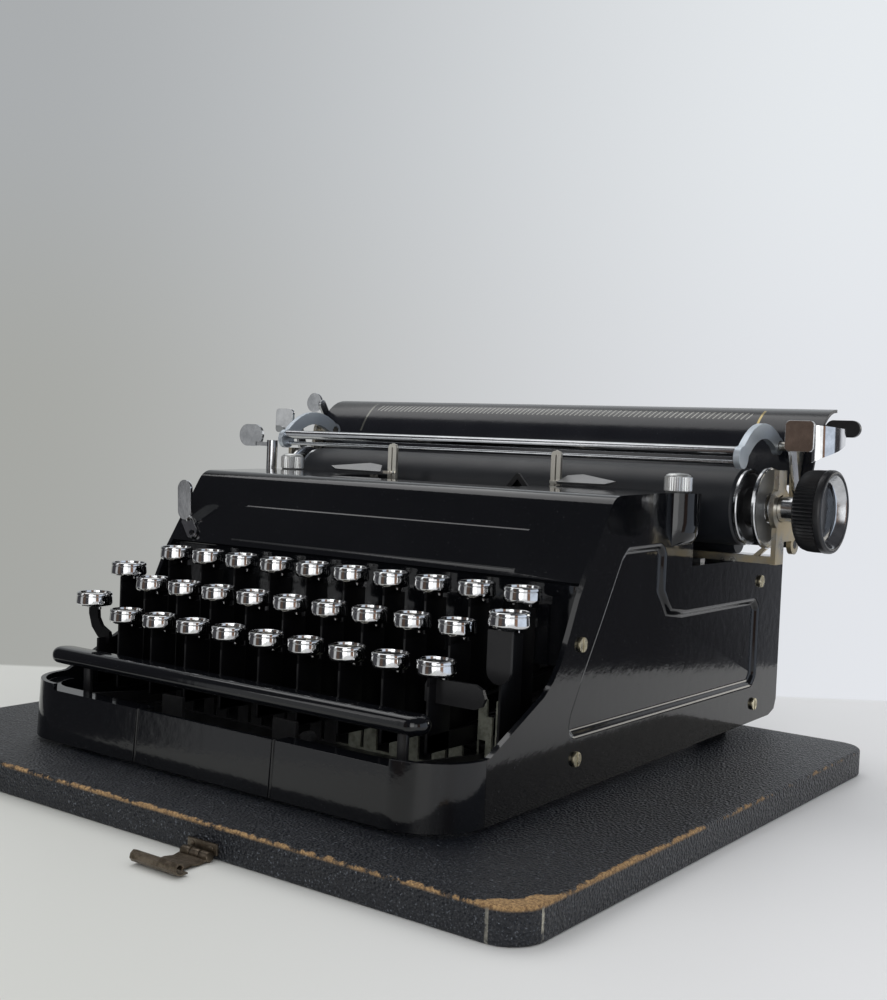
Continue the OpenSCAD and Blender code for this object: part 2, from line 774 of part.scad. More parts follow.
module paper_table() {
    lug_w = 2;
    lug_inset = 10.8;
    lug_x = min(frame_x - plate_t - lug_w, table_x - lug_inset);
    lug_y = rear_bar_y - rear_bar_size / 2;
    lug_z = rear_bar_z + rear_bar_size;
    lug_back = 5.5;
    lug_low = paper_z - 13;
    lug_mid = paper_z - 5;
    lug_eye_r = 3.4;
    lug_front_y = bezier(table_foot, table_bend, table_lip, 1 / 8)[0] + 1.5;
    color("#101013") on_board() {
        side_plate(-table_x, table_w) curved_bar(table_foot, table_bend, table_lip, table_t);
        both_sides() side_plate(lug_x, lug_w) difference() {
            union() {
                translate([lug_y, lug_z]) square([rear_bar_size, lug_mid - lug_z]);
                translate([lug_front_y, lug_low]) square([paper_y - lug_front_y, lug_mid - lug_low]);
                translate([paper_y - lug_back, lug_low]) square([lug_back + paper_r, paper_z + 1 - lug_low]);
                translate([paper_y, paper_z]) circle(r = lug_eye_r);
            }
            translate([paper_y, paper_z]) circle(r = paper_r + gap);
        }
    }
}

module paper_bail() {
    eye_r = 4.4;
    arm_w = 6;
    color("#c3cbd2") on_board() {
        cross_bar(-arm_x - 0.5, arm_x + 0.5, bail_at[0], bail_at[1], bail_r);
        cross_bar(-arm_x - 0.5, arm_x + 0.5, bail_low[0], bail_low[1], bail_low_r);
        both_sides() side_plate(arm_x, arm_t) difference() {
            union() {
                curved_bar(bail_eye, bail_arch, bail_pivot, arm_w);
                translate(bail_eye) circle(r = eye_r);
                translate(bail_pivot) circle(r = arm_w / 2 + 0.5);
            }
            translate(bail_pivot) circle(r = bail_pin_r + gap);
        }
    }
}

module line_space_lever() {
    post_h = 19;
    tab_l = 16;
    tab_r = 5.5;
    color("#c9ccce") on_board() {
        translate([line_x, line_y, line_z0 + gap]) {
            difference() {
                cylinder(h = post_h, r = line_post_r);
                translate([0, 0, -1]) cylinder(h = line_pin_h + 1, r = line_pin_r + gap);
            }
            translate([0, 0, post_h - 3]) linear_extrude(height = 2) strip([[0, 0], [-8, -1]], 4);
        }
        translate([line_x - line_reach, line_y - 0.6, line_z0 + post_h - 3]) rotate([90, 0, 0])
            linear_extrude(height = 1.4) strip([[tab_r, tab_r], [tab_l - tab_r, tab_r]], 2 * tab_r);
    }
}

module release_arm() {
    arm_out = frame_x + 0.4;
    arm_thick = 1.4;
    arm_wide = 5;
    arm_mid = [release_y - 16, release_z + 15];
    tab_corner = 2;
    tab_t = 1.6;
    side_plate(arm_out, arm_thick) strip([[release_y, release_z], arm_mid, [tab_y + 4, tab_z + 3]], arm_wide);
    translate([arm_out + tab_corner, tab_y, tab_z + tab_corner]) rotate([90, 0, 0])
        linear_extrude(height = tab_t) offset(r = tab_corner)
            square([tab_w - 2 * tab_corner, tab_h - 2 * tab_corner]);
    translate([arm_out, tab_y - tab_t, tab_z + 1]) cube([arm_thick, tab_t + arm_wide + 1, arm_wide - 1]);
}

module carriage_release() {
    color("#c9ccce") on_board() {
        cross_bar(-frame_x - 1, frame_x + 1, release_y, release_z, release_r);
        both_sides() release_arm();
    }
}

module paper_release() {
    tab_x0 = table_x + gap;
    color("#141416") on_board() {
        cross_bar(-tab_x0 - 0.5, tab_x0 + 2, paper_y, paper_z, paper_r);
        side_plate(tab_x0, 2) strip([[paper_y, paper_z], [paper_y - 3, paper_z + 6]], 4);
        translate([tab_x0, paper_y - 2, paper_z + 6.5]) rotate([90, 0, 0]) linear_extrude(height = 2)
            strip([[3.4, 0], [10.8, 0]], 6.8);
    }
}

// Round leaf at the left end of the paper release shaft
module paper_release_leaf() {
    plate_x = -table_x - gap - 1.4;
    leaf_y = paper_y - 7.5;
    leaf_z = paper_z + 12;
    color("#c9ccce") on_board() {
        side_plate(plate_x, 1.4) difference() {
            strip([[paper_y, paper_z], [leaf_y - 0.5, leaf_z]], 4.5);
            translate([paper_y, paper_z]) circle(r = paper_r);
        }
        translate([plate_x, leaf_y, leaf_z]) rotate([90, 0, 0]) linear_extrude(height = 1.4)
            strip([[-4.5, 0.6], [-4, 1.2]], 9.4);
    }
}

module feed_roller() {
    roller_x = platen_l / 2 - 5;
    color("#1b1b1c") on_board() {
        cross_bar(-roller_x, roller_x, feed_y, feed_z, feed_r);
        cross_bar(-frame_x, frame_x, feed_y, feed_z, feed_shaft_r);
    }
}

module drive_unit() {
    post_w = 4;
    drum_at = [-62, pivot_y + 14, 52];
    drum_r = 17;
    drum_h = 12;
    bell_at = [60, pivot_y + 16, 44];
    bell_r = 16;
    color("#8a7f66") on_board() {
        for (p = [drum_at, bell_at]) translate([p[0] - post_w / 2, p[1] - post_w / 2, pan_top])
            cube([post_w, post_w, p[2] - pan_top]);
        translate(drum_at) cylinder(h = drum_h, r = drum_r);
        translate(bell_at) intersection() {
            sphere(r = bell_r);
            cylinder(h = 2 * bell_r, r = 2 * bell_r);
        }
    }
}

for (i = [0:9]) row_key(0, i);
for (i = [0:8]) row_key(1, i);
for (i = [0:7]) row_key(2, i);
last_front_key();  // key_c9
left_shift_key();
right_shift_key();
shift_lock_key();
space_bar();
case_board();
latch_hasp();
feet();
base_pan();
front_rail();
side_panel_left();
side_panel_right();
hood();
rear_deck();
side_screws();
hood_nuts();
lever_guides();
type_basket();
ribbon_spool_left();
ribbon_spool_right();
ribbon_lever();
carriage_frame();
carriage_rails();
platen();
platen_knob();
paper_table();
paper_bail();
line_space_lever();
carriage_release();
paper_release();
paper_release_leaf();
feed_roller();
drive_unit();
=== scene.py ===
import bpy, bmesh, json, math
from mathutils import Matrix, Vector


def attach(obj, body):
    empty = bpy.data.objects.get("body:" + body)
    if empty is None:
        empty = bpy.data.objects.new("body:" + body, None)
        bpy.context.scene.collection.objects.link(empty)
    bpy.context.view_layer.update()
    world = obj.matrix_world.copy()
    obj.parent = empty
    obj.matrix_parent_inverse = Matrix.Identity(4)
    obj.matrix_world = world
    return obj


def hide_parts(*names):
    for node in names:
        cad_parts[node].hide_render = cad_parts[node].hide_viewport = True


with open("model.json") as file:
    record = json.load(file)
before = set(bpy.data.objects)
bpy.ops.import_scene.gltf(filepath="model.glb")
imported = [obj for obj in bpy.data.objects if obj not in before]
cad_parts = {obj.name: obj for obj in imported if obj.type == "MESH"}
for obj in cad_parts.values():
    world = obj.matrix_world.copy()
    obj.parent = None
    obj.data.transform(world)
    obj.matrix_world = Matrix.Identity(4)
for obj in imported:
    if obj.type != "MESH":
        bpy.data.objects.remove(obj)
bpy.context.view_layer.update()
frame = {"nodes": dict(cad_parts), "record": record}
nodes = frame["nodes"]
scene = bpy.context.scene
bodyOf = {n: b for b, ns in frame["record"]["behaviour"]["bodies"].items() for n in ns}
mm = 0.001
boardThick = 11  # the machine stands on the board, and its own heights are counted from there
print("stage: frame loaded,", len(nodes), "nodes")


class Signal:  # a socket that can be used in Python sums
    def __init__(self, graph, socket):
        self.graph, self.socket = graph, socket

    def maths(self, operation, *others):
        node = self.graph.tree.nodes.new("ShaderNodeMath")
        node.operation = operation
        for slot, value in zip(node.inputs, (self,) + others):
            self.graph.feed(slot, value)
        return Signal(self.graph, node.outputs[0])

    def __add__(self, other): return self.maths("ADD", other)
    def __radd__(self, other): return self.maths("ADD", other)
    def __mul__(self, other): return self.maths("MULTIPLY", other)
    def __rmul__(self, other): return self.maths("MULTIPLY", other)
    def __sub__(self, other): return self.maths("SUBTRACT", other)
    def __rsub__(self, other): return (self * -1).maths("ADD", other)
    def __truediv__(self, other): return self.maths("DIVIDE", other)
    def __gt__(self, other): return self.maths("GREATER_THAN", other)
    def __lt__(self, other): return self.maths("LESS_THAN", other)
    def __abs__(self): return self.maths("ABSOLUTE")
    def power(self, other): return self.maths("POWER", other)
    def least(self, other): return self.maths("MINIMUM", other)
    def most(self, other): return self.maths("MAXIMUM", other)
    def every(self, step): return self.maths("FLOORED_MODULO", step)

    def ramp(self, low, high):  # 0 below low, 1 above high, smooth between
        return self.graph.node("ShaderNodeMapRange", {"interpolation_type": "SMOOTHSTEP"},
                               {0: self, 1: low, 2: high, 3: 0.0, 4: 1.0})


class Graph:  # builds one node tree
    def __init__(self, tree):
        self.tree = tree
        tree.nodes.clear()

    def feed(self, slot, value):
        if isinstance(value, Signal):
            self.tree.links.new(value.socket, slot)
        elif isinstance(value, (tuple, list)) and len(value) == 3 and len(slot.default_value) == 4:
            slot.default_value = (*value, 1.0)
        else:
            slot.default_value = value

    def node(self, kind, settings=None, values=None, out=0):
        made = self.tree.nodes.new(kind)
        for name, value in (settings or {}).items():
            setattr(made, name, value)
        for name, value in (values or {}).items():
            self.feed(made.inputs[name], value)
        return Signal(self, made.outputs[out] if len(made.outputs) else None)

    def place(self, part="Object"):
        return self.node("ShaderNodeTexCoord", out=part)

    def axes(self, vector):
        made = self.tree.nodes.new("ShaderNodeSeparateXYZ")
        self.feed(made.inputs[0], vector)
        return [Signal(self, o) for o in made.outputs]

    def mapped(self, vector, scale):
        return self.node("ShaderNodeMapping", None, {"Vector": vector, "Scale": scale})

    def noise(self, vector, scale, detail=4.0, rough=0.5):
        return self.node("ShaderNodeTexNoise", None,
                         {"Vector": vector, "Scale": scale, "Detail": detail, "Roughness": rough})

    def cells(self, vector, scale):
        return self.node("ShaderNodeTexVoronoi", None, {"Vector": vector, "Scale": scale})

    def mixed(self, share, first, second):
        made = self.tree.nodes.new("ShaderNodeMix")
        made.data_type = "RGBA"
        for slot, value in ((made.inputs[0], share), (made.inputs[6], first), (made.inputs[7], second)):
            self.feed(slot, value)
        return Signal(self, made.outputs[2])

    def bumped(self, height, strength, distance):
        return self.node("ShaderNodeBump", None, {"Strength": strength, "Distance": distance, "Height": height})

    def dot(self, vector, other):
        return self.node("ShaderNodeVectorMath", {"operation": "DOT_PRODUCT"}, {0: vector, 1: other}, 1)


def finish(name, recipe):  # one material from a function that returns its surface's inputs
    material = bpy.data.materials.new(name)
    material.use_nodes = True
    graph = Graph(material.node_tree)
    surface = graph.node("ShaderNodeBsdfPrincipled", None, recipe(graph))
    graph.node("ShaderNodeOutputMaterial", None, {0: surface})
    return material


enamelLook = {"deep": (0.0024, 0.0026, 0.0036), "worn": (0.0055, 0.006, 0.0075), "gloss": 0.055}


def enamelRecipe(g):  # stoved black enamel: deep gloss, faint orange peel, wiped dust
    p = g.place()
    smear = g.noise(p, 38, 5, 0.6)
    speck = g.noise(p, 1500, 2).ramp(0.70, 0.76)
    peel = g.noise(p, 260, 3)
    return {"Base Color": g.mixed(speck * 0.5, g.mixed(smear, enamelLook["deep"], enamelLook["worn"]),
                                  (0.05, 0.05, 0.055)),
            "Roughness": enamelLook["gloss"] + smear * 0.05 + speck * 0.25, "Specular IOR Level": 0.5,
            "Normal": g.bumped(peel, 0.12, 0.0003)}


def satinRecipe(g):  # black japanned levers and pan, duller than the panels
    p = g.place()
    grime = g.noise(p, 120, 5, 0.6)
    return {"Base Color": g.mixed(grime, (0.006, 0.006, 0.007), (0.016, 0.016, 0.017)),
            "Roughness": 0.22 + grime * 0.2, "Normal": g.bumped(g.noise(p, 900, 3), 0.15, 0.0002)}


def stemRecipe(g):  # black dipped key stems and levers, deep in the shade of the keys
    p = g.place()
    grime = g.noise(p, 200, 5, 0.6)
    return {"Base Color": g.mixed(grime, (0.0016, 0.0016, 0.002), (0.005, 0.005, 0.006)),
            "Roughness": 0.30 + grime * 0.2, "Specular IOR Level": 0.16,
            "Normal": g.bumped(g.noise(p, 900, 3), 0.08, 0.0002)}


def platedRecipe(deep, pale, gloss):
    def recipe(g):  # plating with handling marks and fine polishing lines
        p = g.place()
        marks = g.noise(p, 160, 5, 0.65)
        lines = g.noise(p, 700, 3)
        return {"Base Color": g.mixed(marks.ramp(0.3, 0.75), deep, pale), "Metallic": 1.0,
                "Roughness": gloss + marks * gloss + lines * 0.04,
                "Normal": g.bumped(lines, 0.06, 0.0001)}
    return recipe


def knurlRecipe(g):
    p = g.place()
    grain = g.noise(p, 1100, 3)
    return {"Base Color": g.mixed(grain, (0.52, 0.53, 0.52), (0.80, 0.81, 0.80)), "Metallic": 0.9,
            "Roughness": 0.3 + grain * 0.2, "Normal": g.bumped(grain, 0.2, 0.0001)}


def brassRecipe(g):
    p = g.place()
    tarnish = g.noise(p, 420, 5, 0.6).ramp(0.35, 0.7)
    return {"Base Color": g.mixed(tarnish, (0.70, 0.64, 0.47), (0.42, 0.37, 0.25)), "Metallic": 1.0,
            "Roughness": 0.24 + tarnish * 0.28, "Normal": g.bumped(g.noise(p, 1500, 3), 0.2, 0.0001)}


def agedLatchRecipe(g):  # thin plating worn to brown brass
    p = g.place()
    worn = g.noise(p, 230, 6, 0.7).ramp(0.38, 0.66)
    rust = g.noise(p, 900, 4, 0.7).ramp(0.58, 0.72)
    base = g.mixed(worn, (0.20, 0.165, 0.125), (0.075, 0.058, 0.04))
    return {"Base Color": g.mixed(rust, base, (0.09, 0.045, 0.02)), "Metallic": 0.9 - rust * 0.5,
            "Roughness": 0.30 + worn * 0.22 + rust * 0.2, "Normal": g.bumped(worn + rust, 0.3, 0.0002)}


def combRecipe(g):  # comb teeth pale grey-green towards the right, painted dark elsewhere as shade, with rubbed edges
    p = g.place()
    x, y, z = g.axes(p)
    rub = g.noise(p, 330, 5, 0.65)
    # painted shade: only the right keeps the grey-green paint, and the rest is painted dark where it stands in shade
    pale = x.ramp(0.010, 0.022) * (y > -0.07)
    shadedTone = g.mixed(rub, (0.012, 0.012, 0.013), (0.04, 0.04, 0.042))
    return {"Base Color": g.mixed(pale, shadedTone, g.mixed(rub.ramp(0.35, 0.7), (0.40, 0.41, 0.34), (0.20, 0.21, 0.17))),
            "Metallic": 0.35, "Roughness": 0.4 + rub * 0.2, "Normal": g.bumped(rub, 0.2, 0.0002)}


def steelRecipe(g):
    p = g.place()
    stain = g.noise(p, 150, 5, 0.6)
    return {"Base Color": g.mixed(stain, (0.20, 0.205, 0.215), (0.38, 0.385, 0.39)), "Metallic": 0.95,
            "Roughness": 0.28 + stain * 0.2, "Normal": g.bumped(g.noise(p, 1200, 3), 0.15, 0.0001)}


def satinSteelRecipe(g):  # turned face of the ratchet disc
    p = g.place()
    rings = g.noise(g.mapped(p, (8, 1, 1)), 700, 3)
    stain = g.noise(p, 130, 4)
    return {"Base Color": g.mixed(stain, (0.34, 0.35, 0.36), (0.50, 0.51, 0.52)), "Metallic": 0.85,
            "Roughness": 0.36 + rings * 0.14, "Normal": g.bumped(rings, 0.12, 0.0001)}


def frameRecipe(g):  # end plates: pale gold where the nickel has thinned, grey elsewhere
    p = g.place()
    thin = g.noise(p, 75, 5, 0.6).ramp(0.36, 0.62)
    return {"Base Color": g.mixed(thin, (0.42, 0.41, 0.38), (0.56, 0.47, 0.31)), "Metallic": 0.95,
            "Roughness": 0.26 + thin * 0.14, "Normal": g.bumped(g.noise(p, 1300, 3), 0.15, 0.0001)}


def rubberRecipe(g):  # hard old rubber, slightly shiny from use, with fine turning lines
    p = g.place()
    rings = g.noise(g.mapped(p, (30, 1, 1)), 180, 3)
    bloom = g.noise(p, 90, 5, 0.6)
    return {"Base Color": g.mixed(bloom, (0.008, 0.009, 0.012), (0.016, 0.018, 0.022)),
            "Roughness": 0.34 + bloom * 0.16, "Specular IOR Level": 0.4, "Normal": g.bumped(rings, 0.18, 0.0002)}


def knobRecipe(g):
    p = g.place()
    bloom = g.noise(p, 150, 5, 0.6)
    return {"Base Color": g.mixed(bloom, (0.006, 0.006, 0.007), (0.016, 0.017, 0.019)),
            "Roughness": 0.26 + bloom * 0.2, "Normal": g.bumped(g.noise(p, 1500, 3), 0.15, 0.0001)}


def glassRecipe(g):  # key glass seen from above: a dark disc under a clear coat
    p = g.place()
    fleck = g.noise(p, 700, 4)
    return {"Base Color": g.mixed(fleck, (0.010, 0.010, 0.011), (0.022, 0.021, 0.020)), "Roughness": 0.3 + fleck * 0.1,
            "Coat Weight": 1.0, "Coat Roughness": 0.03, "Normal": g.bumped(fleck, 0.05, 0.0001)}


def legendRecipe(g):  # aged white of the key letters
    p = g.place()
    age = g.noise(p, 900, 4)
    return {"Base Color": g.mixed(age, (0.66, 0.63, 0.53), (0.48, 0.45, 0.37)), "Roughness": 0.35 + age * 0.1,
            "Coat Weight": 1.0, "Coat Roughness": 0.03}


def spoolRecipe(g):
    p = g.place()
    wear = g.noise(p, 260, 5)
    return {"Base Color": g.mixed(wear, (0.010, 0.010, 0.012), (0.03, 0.03, 0.032)),
            "Roughness": 0.5 + wear * 0.25, "Normal": g.bumped(g.noise(g.mapped(p, (1, 1, 12)), 420, 3), 0.3, 0.0002)}


boardLook = {"width": 299, "depth": 266, "front": -129, "corner": 12}


def clothRecipe(g):  # pebbled leathercloth, rubbed to the boards along the front and right edges
    p = g.place()
    x, y, z = g.axes(p)
    halfW, halfD = boardLook["width"] / 2 * mm, boardLook["depth"] / 2 * mm
    midY = (boardLook["front"] + boardLook["depth"] / 2) * mm
    r = boardLook["corner"] * mm
    fromX = abs(x) - (halfW - r)
    fromY = abs(y - midY) - (halfD - r)
    outX, outY = fromX.most(0), fromY.most(0)
    edge = (outX * outX + outY * outY).power(0.5) + fromX.most(fromY).least(0) - r  # minus the way to the rim
    grain = g.cells(p, 950)
    coarse = g.noise(p, 620, 4, 0.6)
    frontness = (y * -1).ramp(-0.06, 0.12) * 0.55 + x.ramp(-0.05, 0.14) * 0.45
    ragged = (g.noise(p, 240, 6, 0.75) - 0.5) * 0.006 + (g.noise(p, 34, 3) - 0.5) * 0.005
    corner = (((x - 0.1445) * (x - 0.1445) + (y + 0.1215) * (y + 0.1215)).power(0.5) * -1).ramp(-0.013, -0.005)
    rim = (edge + ragged + frontness * 0.0007 + corner * 0.005).ramp(-0.0004, 0.0004)
    top = z.ramp(0.0092, 0.0104)
    bare = rim * top * (frontness + corner).ramp(0.22, 0.5)
    fibre = g.noise(p, 1300, 5, 0.7)
    tan = g.mixed(fibre.ramp(0.3, 0.7), (0.16, 0.085, 0.035), (0.60, 0.38, 0.17))
    dusty = g.noise(p, 55, 4, 0.6)
    cloth = g.mixed(dusty, (0.0035, 0.0048, 0.0088), (0.009, 0.0115, 0.0175))
    scuff = ((abs(x - 0.1385) - 0.0005) * (abs(y + 0.1185) - 0.0005) * 1e6)
    crack = (1 - scuff.ramp(0.0, 0.6)) * corner * (1 - top) * g.noise(p, 300, 4).ramp(0.4, 0.55)
    # painted glints: pale specks in the base colour stand in for the sparkle of light on the grain
    glint = g.noise(p, 1500, 2).ramp(0.64, 0.70)
    shade = g.mixed(bare, g.mixed(glint * 0.9, cloth, (0.13, 0.145, 0.17)), tan)
    height = grain * (1 - bare) * 0.8 + coarse * 0.5 + fibre * bare
    return {"Base Color": g.mixed(crack, shade, (0.42, 0.40, 0.33)),
            "Roughness": 0.30 + coarse * 0.22 + bare * 0.3,
            "Normal": g.bumped(height, 0.9, 0.001)}


tableLook = {"lineX": 105.3, "lineLow": 124, "lineTop": 138.3, "tickStep": 2.54, "tickReach": 101, "tickFront": 110.6,
             "tickBack": 114.6}


def paperTableRecipe(g):  # enamel with two lines, gold at the right and grey at the left, and a plain row of graduation ticks
    p = g.place()
    x, y, z = g.axes(p)
    smear = g.noise(p, 38, 5, 0.6)
    speck = g.noise(p, 1500, 2).ramp(0.7, 0.76)
    line = 1 - (abs(abs(x) - tableLook["lineX"] * mm) - 0.0004).ramp(0, 0.0002)
    gold = line * (z > (tableLook["lineLow"] + boardThick) * mm) * (z < (tableLook["lineTop"] + boardThick) * mm)
    step = tableLook["tickStep"] * mm
    lean = (y - tableLook["tickFront"] * mm) * 0.5
    tick = ((x - lean + step * 100).every(step) < 0.0007) * (abs(x) < tableLook["tickReach"] * mm)
    ticks = tick * (z > 0.14) * (y > tableLook["tickFront"] * mm) * (y < tableLook["tickBack"] * mm)
    # the top of the table is lightened: partly dust, partly a painted sheen on its rounded top edge
    dustAndSheen = z.ramp(0.143, 0.1495) * 0.6
    base = g.mixed(smear, (0.005, 0.0055, 0.008), (0.011, 0.012, 0.016))
    base = g.mixed(dustAndSheen, base, (0.05, 0.05, 0.05))
    lined = g.mixed(gold, base, g.mixed(x > 0, (0.20, 0.20, 0.18), (0.42, 0.33, 0.15)))
    return {"Base Color": g.mixed(ticks * (0.4 + smear * 0.5), lined, (0.42, 0.42, 0.38)),
            "Roughness": 0.10 + smear * 0.12 + speck * 0.2 + dustAndSheen * 0.1, "Metallic": gold * 0.7,
            "Normal": g.bumped(g.noise(p, 300, 3), 0.1, 0.0003)}


def footRecipe(g):
    p = g.place()
    wear = g.noise(p, 300, 4)
    return {"Base Color": g.mixed(wear, (0.010, 0.010, 0.010), (0.024, 0.024, 0.023)), "Roughness": 0.75 + wear * 0.15,
            "Normal": g.bumped(wear, 0.3, 0.0003)}


enamel = finish("blackEnamel", enamelRecipe)
satin = finish("satinBlack", satinRecipe)
stemBlack = finish("stemBlack", stemRecipe)
chrome = finish("keyChrome", platedRecipe((0.56, 0.565, 0.57), (0.80, 0.805, 0.81), 0.045))
nickel = finish("nickelTrim", platedRecipe((0.42, 0.43, 0.44), (0.68, 0.69, 0.70), 0.10))
knurled = finish("knurledAluminium", knurlRecipe)
brass = finish("screwBrass", brassRecipe)
agedLatch = finish("agedLatch", agedLatchRecipe)
combPaint = finish("combPaint", combRecipe)
steel = finish("toolSteel", steelRecipe)
satinSteel = finish("satinSteel", satinSteelRecipe)
frameMetal = finish("thinNickel", frameRecipe)
rubber = finish("platenRubber", rubberRecipe)
knobBlack = finish("knobEbonite", knobRecipe)
glass = finish("keyGlass", glassRecipe)
legend = finish("keyLegend", legendRecipe)
spoolBlack = finish("spoolBlack", spoolRecipe)
leathercloth = finish("leathercloth", clothRecipe)
tableEnamel = finish("tableEnamel", paperTableRecipe)
footRubber = finish("footRubber", footRecipe)
print("stage: finishes made")

# the pieces are drawn in millimetres over the board's top, and moved into the scene when they are settled
toScene = Matrix.Diagonal((mm, mm, mm, 1)) @ Matrix.Translation((0, 0, boardThick))
pieces = []


def settle(name, bm, finishes, body, stands=(), sharp=35):  # sharp: degrees past which an edge stays crisp
    bmesh.ops.remove_doubles(bm, verts=bm.verts, dist=1e-4)
    bmesh.ops.recalc_face_normals(bm, faces=bm.faces)
    bmesh.ops.transform(bm, matrix=toScene, verts=bm.verts)
    for face in bm.faces:
        face.smooth = True
    for edge in bm.edges:
        edge.smooth = not edge.is_manifold or edge.calc_face_angle(0) < math.radians(sharp)
    mesh = bpy.data.meshes.new(name)
    bm.to_mesh(mesh)
    bm.free()
    return place(name, mesh, finishes, body, stands)


def place(name, mesh, finishes, body, stands=()):
    piece = bpy.data.objects.new(name, mesh)
    scene.collection.objects.link(piece)
    for material in finishes:
        mesh.materials.append(material)
    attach(piece, body)
    for node in stands:
        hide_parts(node)
    pieces.append(piece)
    return piece


def paint(made, index):  # gives the faces of new vertices a material
    for face in {f for v in made for f in v.link_faces}:
        face.material_index = index


def block(bm, lo, hi, index=0, soften=0.0):
    size = [h - l for l, h in zip(lo, hi)]
    centre = Vector([(h + l) / 2 for l, h in zip(lo, hi)])
    matrix = Matrix.Translation(centre) @ Matrix.Diagonal((*size, 1))
    made = bmesh.ops.create_cube(bm, size=1, matrix=matrix)["verts"]
    paint(made, index)
    if soften:
        edges = list({e for v in made for e in v.link_edges})
        bmesh.ops.bevel(bm, geom=edges, offset=soften, segments=2, affect="EDGES", profile=0.5, material=-1)


def rod(bm, a, b, r, index=0, steps=32, soften=0.0):
    a, b = Vector(a), Vector(b)
    run = b - a
    matrix = Matrix.Translation((a + b) / 2) @ run.to_track_quat("Z", "Y").to_matrix().to_4x4()
    made = bmesh.ops.create_cone(bm, cap_ends=True, segments=steps, radius1=r, radius2=r, depth=run.length,
                                 matrix=matrix)["verts"]
    paint(made, index)
    if soften:
        rims = [e for e in {e for v in made for e in v.link_edges}
                if sorted(len(f.verts) for f in e.link_faces)[-1] == steps]
        bmesh.ops.bevel(bm, geom=rims, offset=soften, segments=3, affect="EDGES", profile=0.5, material=-1)


def turned(bm, profile, centre, axis, steps=64, index=0):  # profile: pairs of way along the axis and radius
    centre, axis = Vector(centre), Vector(axis).normalized()
    side = axis.orthogonal().normalized()
    verts = [bm.verts.new(centre + axis * t + side * r) for t, r in profile]
    edges = [bm.edges.new((a, b)) for a, b in zip(verts, verts[1:])]
    before = set(bm.faces)
    bmesh.ops.spin(bm, geom=verts + edges, cent=centre, axis=axis, angle=math.tau, steps=steps, use_merge=True,
                   use_duplicate=False)
    for face in set(bm.faces) - before:
        face.material_index = index


def sheetOf(bm, points, depth, index=0):  # flat outline pushed through a thickness
    face = bm.faces.new([bm.verts.new(p) for p in points])
    grown = bmesh.ops.extrude_face_region(bm, geom=[face])["geom"]
    lifted = [v for v in grown if isinstance(v, bmesh.types.BMVert)]
    bmesh.ops.translate(bm, vec=Vector(depth), verts=lifted)
    for f in {face, *[f for v in lifted for f in v.link_faces]}:
        f.material_index = index


def dressed(node, material, soften=0.4, segments=2, angle=32, shape=None):  # merged CAD copy, edges eased
    mesh = nodes[node].data.copy()
    mesh.materials.clear()
    bm = bmesh.new()
    bm.from_mesh(mesh)
    bmesh.ops.remove_doubles(bm, verts=bm.verts, dist=2e-6)
    bmesh.ops.dissolve_limit(bm, angle_limit=math.radians(0.6), verts=bm.verts, edges=bm.edges)
    if shape:
        shape(bm)
    for face in bm.faces:
        face.smooth = True
        face.material_index = 0
    for edge in bm.edges:
        edge.smooth = True
    bm.to_mesh(mesh)
    bm.free()
    if mesh.has_custom_normals:
        mesh.normals_split_custom_set([(0, 0, 0)] * len(mesh.loops))
    piece = place(node + "_dressed", mesh, [material], bodyOf[node], [node])
    bevel = piece.modifiers.new("ease", "BEVEL")
    bevel.limit_method, bevel.angle_limit = "ANGLE", math.radians(angle)
    bevel.width, bevel.segments, bevel.miter_outer = soften * mm, segments, "MITER_ARC"
    bevel.harden_normals = False
    weighted = piece.modifiers.new("faces", "WEIGHTED_NORMAL")
    weighted.keep_sharp, weighted.weight = True, 60
    return piece


def joined(bm, loops):  # closed loops of points, bridged one to the next
    rings = []
    for loop in loops:
        verts = [bm.verts.new(point) for point in loop]
        rings.append([bm.edges.new(pair) for pair in zip(verts, verts[1:] + verts[:1])])
    for low, high in zip(rings, rings[1:]):
        bmesh.ops.bridge_loops(bm, edges=low + high)


# the photograph's viewing angle
cameraLook = {"at": (0.32488, -0.40927, 0.12994), "yaw": 36.28, "pitch": 2.45, "roll": 2.34, "lens": 47.18}
yaw, pitch, roll = (math.radians(cameraLook[k]) for k in ("yaw", "pitch", "roll"))
ahead = Vector((-math.sin(yaw) * math.cos(pitch), math.cos(yaw) * math.cos(pitch), -math.sin(pitch)))
across = Vector((math.cos(yaw), math.sin(yaw), 0))
upright = across.cross(ahead)
tilted = across * math.cos(roll) + upright * math.sin(roll)
lifted = upright * math.cos(roll) - across * math.sin(roll)
camera = bpy.data.objects.new("camera", bpy.data.cameras.new("camera"))
camera.data.lens = cameraLook["lens"]
camera.data.sensor_width = 36
camera.data.clip_start = 0.01
camera.matrix_world = Matrix((tilted, lifted, -ahead)).transposed().to_4x4()
camera.location = cameraLook["at"]
scene.collection.objects.link(camera)
scene.camera = camera
print("stage: camera set")

# the front latch: a plate on the board, and a hinged strap folded out with its end curled up
latchLook = {"x": 33, "hingeY": -131.9, "hingeZ": -9.4, "hingeR": 1.6, "strapHalf": 6, "headHalf": 10, "plateHalf": 6.5,
             "rivets": (-4.2, 4.2), "knuckles": ((-6, -2.2), (-1.9, 1.9), (2.2, 6)),
             "strapPath": ((-133.2, -9.7), (-136, -10.2), (-139.5, -9.7), (-143, -10.0), (-145.6, -10.5)),
             "curlPath": ((-144.6, -10.3), (-147.4, -10.4), (-148.9, -9.9), (-149.7, -8.7), (-149.4, -7.3),
                          (-148.2, -6.5), (-146.9, -6.9), (-146.3, -7.9), (-146.8, -8.9))}

